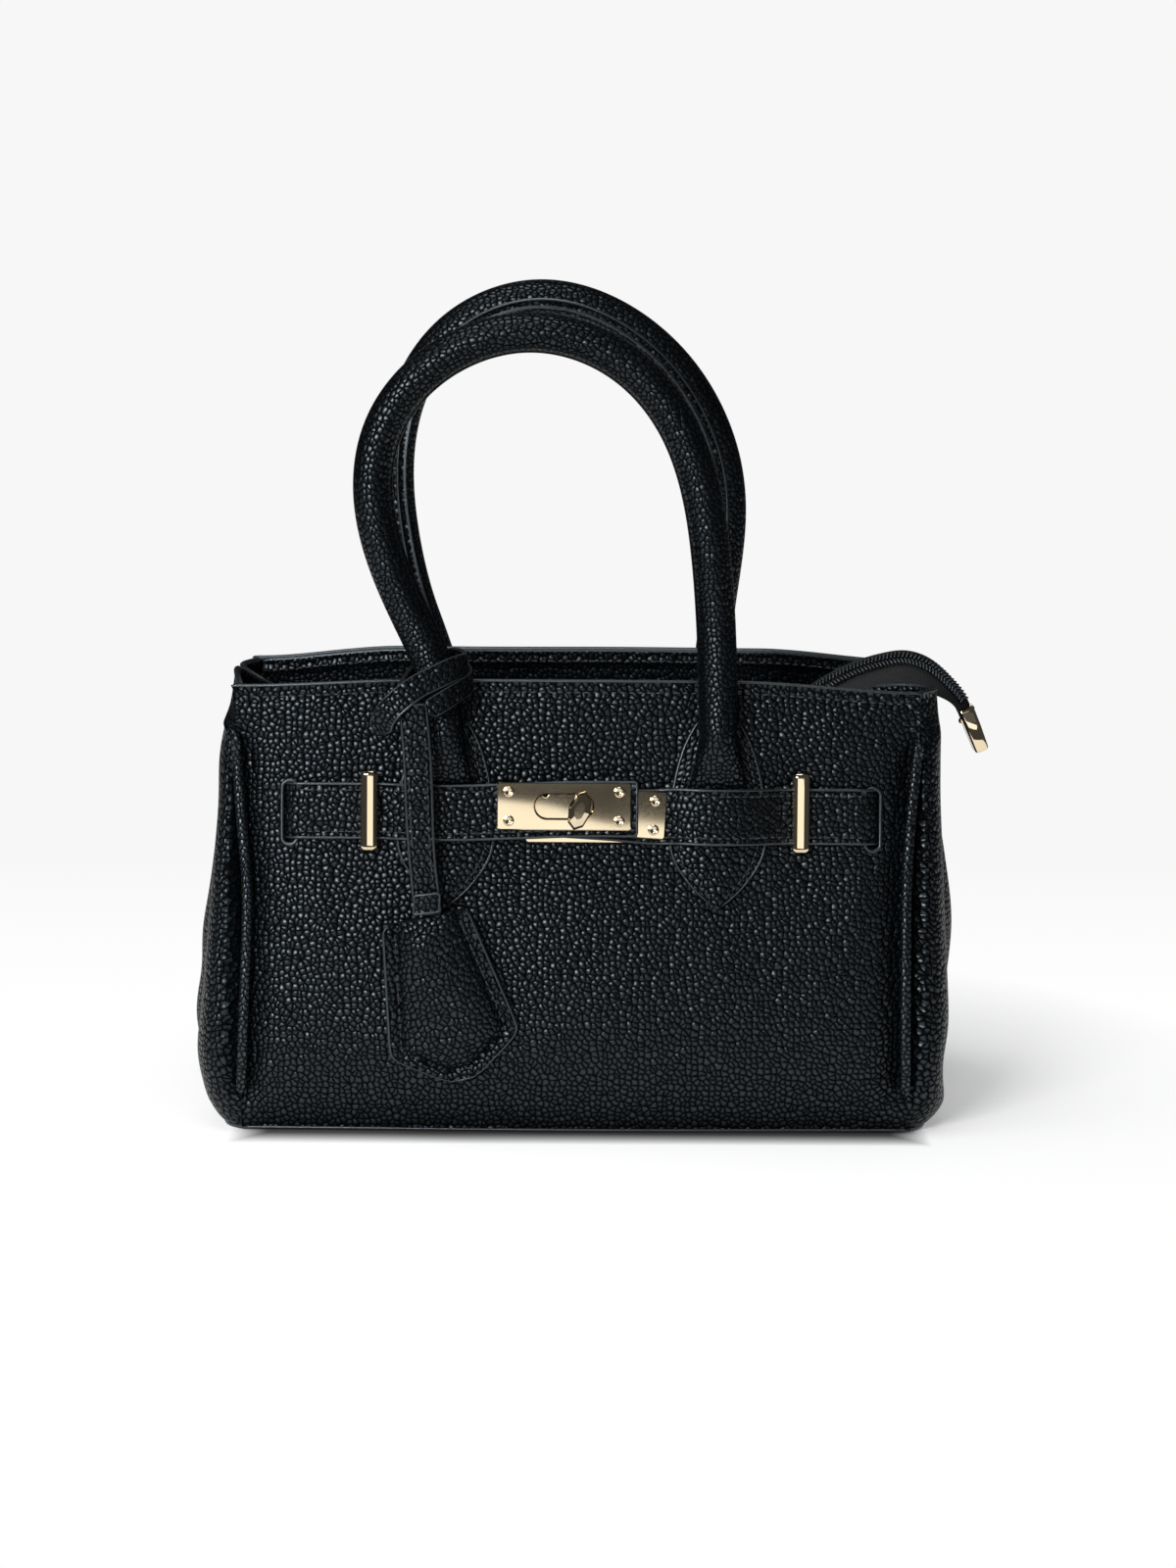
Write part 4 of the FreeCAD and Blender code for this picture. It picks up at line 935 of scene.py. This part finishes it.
def strap_path(hand):
    """The belt's run from its slit to its plate, as (across, drop, out) of its underside."""
    end = strap_end[hand]
    run = strap_run + ((36.0, 0.1, (end + 6.0) / 2),)
    points = [(hand * x, strap_drop[hand] + sag, out) for x, sag, out in run]
    tilt = math.tan(math.radians(plate_tilt[hand]))
    for reach in np.linspace(-plate_length / 2 + 1.0, plate_length / 2 + 1.8, 8):
        level = -hand * reach
        drop = plate_drop[hand] + 0.9 + level * tilt
        blend = float(ease(reach, *strap_settles[hand]))
        points.append((hand * plate_shift + level, strap_drop[hand] * (1 - blend) + drop * blend, end))
    return np.array(points)


def strap(hand, word):
    line = curve_through(strap_path(hand), 240)
    heading = tangents(line)
    lay = points_at(-heading[:, 1], heading[:, 0], 0.0)
    lay = unit(lay * np.sign(lay[:, 1:2]))
    v = np.linspace(-1, 1, 21)
    # the right belt narrows to go under the left one
    narrower = strap_narrowing * ease(np.linspace(0, 1, len(line)), 0.62, 0.8) if hand > 0 else 0.0
    half = strap_width / 2 - narrower
    flat = line[:, None] + (v[None, :] * np.reshape(half, (-1, 1)))[..., None] * lay[:, None]
    rise = unit(points_at(-heading[:, 2] * heading[:, 0], 0.0, heading[:, 0] ** 2))
    crown = strap_crown * (1 - v ** 2)
    top = flat + (strap_thickness + crown)[None, :, None] * rise[:, None]
    outer, inner = (slope_point(*np.moveaxis(grid, -1, 0)) for grid in (top, flat))
    obj = thick_sheet(word + "_belt_leather", outer, inner, edged_pebble, lips=(0.6, 0.6))
    x, z = turned(*oval(slot_length + 0.6, slot_height + 0.6), plate_tilt[hand])
    cut_slot(obj, x, z, hand * plate_shift, plate_drop[hand], deep=30.0)
    dress(obj, "bag", "leather", word + "_strap")
    # sewn near both edges, from where the belt comes out of its slit
    first = 26
    facing = unit(outer - inner)[first:]
    shown = outer[first:] + 0.06 * facing
    rows = [(shown[:, edge], facing[:, edge]) for edge in (2, 18)]
    stitches(word + "_belt_stitching", "bag", rows, belt_thread)


def keeper_bar(hand, word):
    """A rounded upright bar that holds the belt down, its ends lightly chamfered."""
    turn = round_turn(40)
    wide = squared(np.cos(turn), 0.62) * keeper_half
    high = squared(np.sin(turn), 0.8) * keeper_half_depth
    rings = []
    for up, share in keeper_rings:
        out = keeper_out + keeper_lean * up + share * high
        rings.append(slope_point(keeper_x[hand] + share * wide, keeper_drop - up, out))
    bar = crisp(sweep(word + "_keeper_metal", np.array(rings), [gold]))
    dress(bar, "bag", "gold_metal", word + "_keeper_bar")


def plate_rivets(hand, word):
    """Flat rivets with a ring round a sunk middle, at a lock plate's corners."""
    around = 28
    turn = round_turn(around)
    verts, faces = [], []
    for i, j in ((-1, -1), (-1, 1), (1, -1), (1, 1)):
        x, z = turned(i * (plate_length / 2 - rivet_inset_x), j * (plate_height / 2 - rivet_inset_z),
                      plate_tilt[hand])
        rings = []
        for radius, high in rivet_profile:
            rings.append(len(verts) + np.arange(around))
            verts += slope_point(hand * plate_shift + x + radius * np.cos(turn),
                                 plate_drop[hand] - z - radius * np.sin(turn), plate_top[hand] + high).tolist()
        for a, b in zip(rings, rings[1:]):
            faces += band(a, b)
        faces += [rings[0].tolist(), rings[-1].tolist()]
    dress(add_mesh(word + "_ring_rivets", verts, faces, [gold]), "bag", "gold_metal", word + "_plate_rivets")


# Lanyard and fob

def facing_viewer(line):
    """A sewn row on a leaf that faces the viewer."""
    return line, np.repeat(towards_viewer[None, :], len(line), axis=0)


def lanyard_strip():
    u, v = lattice(np.linspace(0, 1, 60), np.linspace(-1, 1, 17))
    half = lanyard_width / 2
    x = fob_hinge[0] - 3.0 + 5.2 * u + v * half * (1 - 0.06 * mound(u, 0.75, 0.2)) + 0.4 * np.sin(u * 7)
    z = fob_hinge[2] + 4.0 - (lanyard_length + 4.0) * u
    bow = 0.9 * np.sin(u * math.pi)
    outer = points_at(x, fob_hinge[1] - lanyard_thickness / 2 - (bow + 0.35 * (1 - v ** 2)), z)
    inner = points_at(x, fob_hinge[1] + lanyard_thickness / 2 - bow, z)
    obj = thick_sheet("lanyard_leather", outer, inner, edged_pebble, lips=(0.6, 0.6))
    dress(obj, "fob", "leather", "lanyard_strip")
    rows = [facing_viewer(outer[4:, edge] + 0.06 * towards_viewer) for edge in (2, 14)]
    stitches("lanyard_stitching", "fob", rows, belt_thread)


def lanyard_tab():
    u, v = lattice(np.linspace(0, 1, 12), np.linspace(-1, 1, 17))
    x = fob_hinge[0] + 2.3 + v * tab_half - 0.3 * u
    z = fob_hinge[2] - lanyard_length + tab_top - tab_height * u + 0.5 * v
    y = fob_hinge[1] - lanyard_thickness / 2 - 0.15
    outer = points_at(x, y - tab_thickness - 0.4 * (1 - v ** 2), z)
    obj = thick_sheet("lanyard_end_leather", outer, points_at(x, y, z), edged_small_grain, lips=(0.55, 0.55))
    dress(obj, "fob", "leather", "lanyard_tab")


def fob_distance(x, z):
    """Distance inside the fob's bell-shaped outline."""
    outline = np.array([(-fob_top_half, 0.0), (fob_top_half, 0.0), (fob_low_half, -fob_shoulder),
                        (fob_blunt, -fob_length), (-fob_blunt, -fob_length), (-fob_low_half, -fob_shoulder)])
    near = np.full(np.shape(x), 1e3)
    for a, b in zip(outline, np.roll(outline, -1, axis=0)):
        way = (b - a) / np.linalg.norm(b - a)
        near = np.minimum(near, (x - a[0]) * way[1] - (z - a[1]) * way[0])
    return np.abs(near)


def fob_half(u):
    """Half the fob's width by the distance down from its top, its corners rounded."""
    straight = fob_top_half + (fob_low_half - fob_top_half) * u / fob_shoulder
    low = fob_blunt + (fob_low_half - fob_blunt) * (fob_length - u) / (fob_length - fob_shoulder)
    soft = 2.2
    rounded = -soft * np.log(np.exp(-straight / soft) + np.exp(-low / soft))
    return rounded - 1.6 * mound(u, 0.0, 1.2) - 1.0 * mound(u, fob_length, 1.0)


def fob_place(x, z, y):
    """A point of the fob, which hangs tilted below the lanyard's end."""
    a = math.radians(fob_tilt)
    spare = 0.3 + 6.5 * math.sin(a)
    px = fob_middle + x * math.cos(a) - z * math.sin(a)
    pz = z * math.cos(a) + x * math.sin(a)
    return points_at(fob_hinge[0] + px, fob_hinge[1] + y, fob_hinge[2] - lanyard_length - spare + pz)


def fob():
    """Two leaves sewn together, the front one puffed."""
    rows = np.concatenate([np.linspace(0, 52, 56)[:-1], np.linspace(52, fob_length, 26)])
    u, v = lattice(rows, np.linspace(-1, 1, 61))
    half = fob_half(u)
    x, z = v * half, -u
    beside = half - np.abs(x)
    inside = np.where(u < fob_shoulder, beside, np.minimum(fob_distance(x, z), beside))
    leaf_under = lanyard_thickness / 2 - 1.7
    groove = 1.1 * mound(inside, 4.0, 1.3)
    crown = 1 - (1 - np.clip((inside - 4.2) / 13.0, 0.0, 1.0)) ** 2
    dome = (4.2 * crown + 1.4 * mound(x, -5.0, 8.0) * mound(z, -9.0, 8.0)) * ease(u, -4.0, 7.0)
    wave = 0.35 * np.sin(z / 6.0 + x / 9.0)
    top = fob_place(x, z, leaf_under - fob_leather - dome + groove - wave * ease(inside, 0, 6))
    leaf = thick_sheet("fob_front_leather", top, fob_place(x, z, leaf_under), edged_pebble, lips=(0.1, 0.65))
    dress(leaf, "fob", "leather", "fob_front")
    low = lanyard_thickness / 2
    leaf = thick_sheet("fob_back_leather", fob_place(x, z, low - fob_leather), fob_place(x, z, low),
                       edged_pebble, lips=(0.1, 0.4))
    dress(leaf, "fob", "leather", "fob_back")
    down = np.linspace(3.6, fob_length - 3.2, 120)
    half = fob_half(down) - 3.9
    line = fob_place(np.concatenate([-half, half[::-1]]), np.concatenate([-down, -down[::-1]]),
                     leaf_under - fob_leather + 0.9)
    stitches("fob_stitching", "fob", [facing_viewer(line)], foot_thread)


def lanyard_loop():
    """The strap's other end: round the handle above its foot, with a short free tail in front.
    Each row is a point of the strap's middle line and the way its face looks there."""
    keys = np.array([(-74.6, -60.6, 153.6, -0.25, -1.0, -0.2), (-72.8, -63.4, 159.6, -0.25, -1.0, 0.0),
                     (-67.4, -64.5, 166.0, -0.1, -1.0, 0.1), (-60.4, -62.6, 171.1, 0.0, -1.0, 0.15),
                     (-53.6, -60.2, 174.3, 0.15, -1.0, 0.2), (-46.9, -55.6, 177.0, 0.6, -0.8, 0.2),
                     (-43.4, -48.5, 177.4, 1.0, -0.1, 0.2), (-45.5, -41.6, 178.4, 0.7, 0.7, 0.2),
                     (-52.0, -38.0, 177.6, 0.0, 1.0, 0.2), (-59.5, -39.6, 174.0, -0.5, 0.85, 0.0),
                     (-65.5, -45.6, 169.0, -0.9, 0.35, 0.0), (-67.6, -54.0, 165.4, -1.0, -0.2, 0.0),
                     (-66.4, -60.6, 164.4, -0.5, -0.9, 0.0)])
    strap_band("lanyard_loop_leather", curve_through(keys, 170), 4.6, 1.9, "lanyard_loop")
    keys = np.array([(-57.4, -64.9, 162.3, -0.1, -1.0, 0.05), (-51.8, -62.6, 165.3, 0.2, -1.0, 0.1),
                     (-46.8, -58.4, 168.2, 0.55, -0.85, 0.1), (-42.7, -52.5, 170.4, 0.9, -0.45, 0.1),
                     (-41.6, -47.0, 171.8, 1.0, 0.1, 0.1), (-44.0, -42.4, 174.0, 0.6, 0.8, 0.1)])
    strap_band("lanyard_tail_leather", curve_through(keys, 60), 3.8, 1.8)


def strap_band(name, line, half, thickness, *replaced):
    """A flat strap with a round tip and a rolled edge along both sides."""
    line, face = line[:, :3], line[:, 3:]
    along = tangents(line)
    out = unit(face - along * np.sum(face * along, axis=1, keepdims=True))
    tip = 1 - 0.8 * np.clip(1 - run_along(line) / (0.8 * half), 0, 1) ** 2.5
    turn = round_turn(48)
    wide = squared(np.cos(turn), 0.35) * half
    high = squared(np.sin(turn), 0.75) * thickness / 2
    high = high * (1 + 0.45 * mound(np.abs(wide) / half, 0.93, 0.06))
    rings = rings_round(line, np.cross(along, out), out, tip[:, None] * wide, high)
    obj = sweep(name, rings, edged_pebble, marks=np.abs(wide) > half * 0.86)
    dress(obj, "bag", "leather", *replaced)


# Zip

def zip_line():
    """The closed zip's line, from the slider up over the end wall and down to its metal end."""
    points = [(x, 0.0, zip_z) for x in (slider_x - 4.0, slider_x + 4.0)]
    points += [(x, 0.0, z) for x, z in zip_rise]
    return curve_through(points, 260)


def blend_tail(obj, *replaced):
    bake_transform(obj)
    if replaced:
        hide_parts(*replaced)


def tooth_rows(line, along, out, across):
    """Two meshed rows of slanted coil turns along a closed zip."""
    run = run_along(line)
    centres, axes = [], []
    for hand in (-1, 1):
        at = np.arange(1.0 + (0.5 * coil_pitch if hand > 0 else 0.0), run[-1] - 1.0, coil_pitch)
        spot, way, up, side = (read_at(at, run, rows) for rows in (line, along, out, across))
        lay = unit(side * hand + 0.45 * way)
        centres.append(spot + hand * coil_reach * side + coil_lift * up)
        axes.append(np.stack([lay * 1.9, np.cross(up, lay) * 0.62, up * 1.0], axis=1))
    return np.concatenate(centres), np.concatenate(axes)


def zip_chain():
    """The closed zip, which twists towards the viewer as it climbs out over the end."""
    line = zip_line()
    along = tangents(line)
    across = np.repeat([[0.0, 1.0, 0.0]], len(line), axis=0)
    out = unit(np.cross(along, across))
    out *= np.sign(out[:, 2:3] + 0.3)
    share = np.linspace(0, 1, len(line))
    twist = np.radians(zip_twist * ease(share, 0.18, 0.42) * (1 - 0.3 * ease(share, 0.7, 0.95)))[:, None]
    across, out = across * np.cos(twist) + out * np.sin(twist), out * np.cos(twist) - across * np.sin(twist)
    near = tape_near - (tape_near - tape_near_end) * ease(share, 0.74, 0.97)
    v = np.linspace(-1, 1, 25)[None, :]
    wide = v * np.where(v < 0, near[:, None], tape_far)
    droop = 1.2 * (wide / 12.0) ** 2
    top = rings_round(line, across, out, wide, 0.4 - droop)
    tape = thick_sheet("zip_tape", top, top - tape_thickness * out[:, None], [zip_tape_cloth])
    blend_tail(tape, "zip_chain", "zip_tail")
    centres, axes = tooth_rows(*(rows[8:-12] for rows in (line, along, out, across)))
    blend_tail(beads("zip_teeth", centres, axes, [zip_teeth_finish]))


def zip_end():
    """The metal end folded over the tape: a lip, a sloping upper half and a plain lower half."""
    along = zip_end_low - zip_end_top
    right = np.array([-along[2], 0.0, along[0]]) / np.linalg.norm(along)
    turn = round_turn(48)
    level, depth = squared(np.cos(turn), 0.28), squared(np.sin(turn), 0.28)
    rings = []
    for share, wide, deep in zip_end_rings:
        spot = zip_end_top + share * along
        rings.append(spot + np.outer(level * wide, right) + np.outer(depth * deep, (0.0, 1.0, 0.0)))
    dress(crisp(sweep("zip_end_metal", np.array(rings), [gold])), "tail", "gold_metal", "zip_end_cap")
    spot = zip_end_top + 0.22 * along - 3.3 * right + 3.0 * towards_viewer
    screw = beads("zip_end_screw", [spot], [np.diag([1.1, 1.2, 1.2])], [gold], 16, 10)
    dress(screw, "tail", "gold_metal", "zip_cap_screw")


def zip_flap(side):
    """One half of the inner top: a leather flap with its tape and teeth, hanging open."""
    name = side_name[side]
    path = curve_through([(0.0, -38.2, 154.6), (0.0, -37.1, 152.6), (0.0, -36.6, 150.6), (0.0, -36.5, 140.0),
                          (0.0, -36.6, flap_hinge_z - flap_length)], 50)
    x = np.linspace(flap_left, flap_right, 80)
    outer = points_at(x, path[:, 1:2], path[:, 2:3])
    outer[..., 1] += 0.25 * np.sin(x / 13.0)[None, :] * np.linspace(0, 1, 50)[:, None]
    inner = outer + np.array([0.0, flap_thickness, 0.0])
    flip = np.array([1.0, -side, 1.0])
    obj = thick_sheet(name + "_flap_leather", inner * flip, outer * flip, edged_small_grain)
    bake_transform(obj)
    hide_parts(name + "_zip_flap")
    low = flap_hinge_z - flap_hinge_y + 0.2
    u, v = lattice(np.linspace(coil_left, coil_right, 70), np.linspace(0, 1, 12))
    tape = points_at(u, flap_tape_y, low + 0.7 + flap_tape_height * v)
    under = tape + tape_thickness * towards_viewer
    obj = thick_sheet(name + "_half_tape", tape * flip, under * flip, [zip_tape_cloth])
    dress(obj, name + "_flap", "zip_cloth", name + "_zip_tape")
    at = np.arange(coil_left + 1.0, coil_right - 1.0, flap_coil_pitch)
    centres = points_at(at, flap_coil_y, low + 1.3) * flip
    axes = np.repeat([np.diag([0.55, 1.0, 1.7])], len(at), axis=0)
    dress(beads(name + "_half_teeth", centres, axes, [zip_teeth_finish]), name + "_flap", "zip_cloth")


# Build

def refinish(name, finish):
    """Gives a CAD node its look."""
    nodes[name].data.materials.clear()
    nodes[name].data.materials.append(finish)


for side in (front, back):
    panel(side)
    inner_wall(side)
    base_edge(side)
    handle(side)
    zip_flap(side)
    for hand, word in hands:
        welt(side, hand, word)
        foot_plate(side, hand, word)
for hand, word in hands:
    gusset(hand, word)
    strap(hand, word)
    plate_rivets(hand, word)
    keeper_bar(hand, word)
slit_lips()
flat_layer("base_leather", 0.0, leather, 0.6, edged_pebble, "leather", "base_panel")
flat_layer("base_inner_lining", 4.8, lining_thickness, 1.8, [lining_cloth], "lining", "base_lining")
body_stitching()
foot_stitching()
lanyard_strip()
lanyard_tab()
fob()
lanyard_loop()
zip_chain()
zip_end()
for name in ("left_lock_plate", "right_lock_plate", "keeper_washers", "lock_base",
             "lock_backing", "turn_knob", "zip_slider", "zip_pull"):
    refinish(name, gold)
refinish("base_board", board)


# Stage, light and camera

def rays(tree):
    """Whether a ray comes from the camera, and whether it was mirrored or let through."""
    path = node(tree, "LightPath")
    return path["Is Camera Ray"], calc(tree, "MAXIMUM", path["Is Glossy Ray"], path["Is Transmission Ray"])


def floor():
    """A white sheet that glows evenly away from the bag, so that only the shadow near it shows, with a painted
    contact shadow round the bag's foot.
    """
    mesh = bpy.data.meshes.new("floor")
    wide, near, far, low = 0.9, -0.47, 2.0, -0.0004
    outline = [(-wide, near, low), (wide, near, low), (wide, far, low), (-wide, far, low)]
    mesh.from_pydata(outline, [], [(0, 1, 2, 3)])
    made, tree, shader = material("floor")
    at = place(tree)
    parts = node(tree, "SeparateXYZ", at)
    camera_ray, mirrored = rays(tree)
    # how far a spot lies out of the shadow, from 0 to 1
    reach = node(tree, "VectorMath", at, (0.045, 0.02, 0.0), operation="DISTANCE")["Value"]
    spread = mapped(tree, reach, 0.12, 0.245, 0.0, 1.0)
    # painted contact shadow: dark in a narrow band where the bag stands
    beside = [calc(tree, "SUBTRACT", calc(tree, "ABSOLUTE", parts[axis], 0.0), half)
              for axis, half in (("X", 0.118), ("Y", 0.055))]
    clear = mapped(tree, calc(tree, "MAXIMUM", *beside), 0.0, 0.0145, 0.25, 1.0)
    clear = calc(tree, "POWER", clear, 2.0)
    # the painted contact shadow darkens the floor's colour and cuts its glow
    settle(tree, shader, Base_Color=ramp_colour(tree, clear, (0.0, 0.0, 0.0), (0.95, 0.95, 0.95)),
           Roughness=0.9, Specular_IOR_Level=0.1)
    # what the metal mirrors is dimmer near the bag and far behind it, and holds the painted contact shadow too
    shown = calc(tree, "MULTIPLY", clear, camera_ray)
    mirrored = calc(tree, "MULTIPLY", mirrored, mapped(tree, parts["Y"], 0.0, 0.25, 1.0, 0.3))
    far_share = calc(tree, "MULTIPLY", mapped(tree, spread, 0.0, 1.0, 0.42, 1.0), clear)
    mirrored = calc(tree, "MULTIPLY", far_share, mirrored)
    glow = node(tree, "Emission", Strength=mapped(tree, parts["Y"], 0.15, 0.5, 1.0, 0.93))[0]
    share = calc(tree, "MAXIMUM", calc(tree, "MULTIPLY", shown, spread), mirrored)
    mix = node(tree, "MixShader", share, shader.outputs[0], glow)[0]
    # a little light in the shadow, for the camera only
    lift = calc(tree, "MULTIPLY", shown, mapped(tree, spread, 0.0, 1.0, 0.28, 0.0))
    both = node(tree, "AddShader", mix, node(tree, "Emission", Strength=lift)[0])[0]
    tree.links.new(both, tree.nodes["Material Output"].inputs["Surface"])
    mesh.materials.append(made)
    add_object("floor", mesh)


def world():
    """White behind the object, darker on the camera's side, as in a studio."""
    made = bpy.data.worlds.new("studio")
    made.use_nodes = True
    tree = made.node_tree
    depth = mapped(tree, node(tree, "SeparateXYZ", place(tree, "Generated"))["Y"], 0.96, 0.995, 0.0, 1.0)
    camera_ray, mirrored = rays(tree)
    seen = calc(tree, "MAXIMUM", camera_ray, calc(tree, "MULTIPLY", mirrored, depth))
    rest = ramp_colour(tree, mirrored, (0.26, 0.265, 0.27), (0.05, 0.052, 0.055))
    colour = node(tree, "Mix", data_type="RGBA", Factor=seen, A=rest, B=(0.93, 0.93, 0.93, 1))[2]
    settle(tree, tree.nodes["Background"], Color=colour, Strength=1.0)
    bpy.context.scene.world = made


def softbox(name, place_at, aim, size, power, roll=0.0):
    lamp = bpy.data.lights.new(name, "AREA")
    lamp.shape = "RECTANGLE"
    lamp.size, lamp.size_y = size
    lamp.energy = power
    obj = add_object(name, lamp)
    obj.location = place_at
    facing = (Vector(aim) - Vector(place_at)).to_track_quat("-Z", "Y").to_matrix()
    obj.rotation_euler = (facing @ Matrix.Rotation(math.radians(roll), 3, "Z")).to_euler()


def camera():
    """Set from the photograph: a long lens, a little above the rim."""
    spot = (-0.0077, -1.150, 0.3139)
    pitch, yaw, roll = math.radians(9.33), math.radians(-0.52), 0.0080
    right = Vector((math.cos(yaw), math.sin(yaw), 0))
    level = Vector((-math.sin(yaw), math.cos(yaw), 0))
    ahead = level * math.cos(pitch) - Vector((0, 0, 1)) * math.sin(pitch)
    up = level * math.sin(pitch) + Vector((0, 0, 1)) * math.cos(pitch)
    side = right * math.cos(roll) + up * math.sin(roll)
    up = up * math.cos(roll) - right * math.sin(roll)
    lens = bpy.data.cameras.new("camera")
    lens.sensor_fit = "HORIZONTAL"
    lens.sensor_width = 36.0
    lens.lens = 91.4
    lens.clip_start = 0.05
    obj = add_object("camera", lens)
    obj.matrix_world = Matrix.Translation(spot) @ Matrix((side, up, -ahead)).transposed().to_4x4()
    bpy.context.scene.camera = obj


floor()
world()
softbox("key_light", (-0.42, -0.90, 0.47), (0, 0, 0.14), (0.44, 0.30), 8.2)
softbox("top_light", (-0.15, -0.25, 1.35), (0, 0, 0.1), (0.9, 0.4), 5.0)
softbox("front_card", (0.06, -1.7, 0.2115), (0.06, 0, 0.2115), (0.76, 0.166), 0.48, roll=-6.0)
softbox("upper_card", (0.08, -1.7, 0.46), (0.08, 0, 0.46), (0.8, 0.28), 0.04)
camera()
bpy.context.scene.view_settings.view_transform = "Standard"
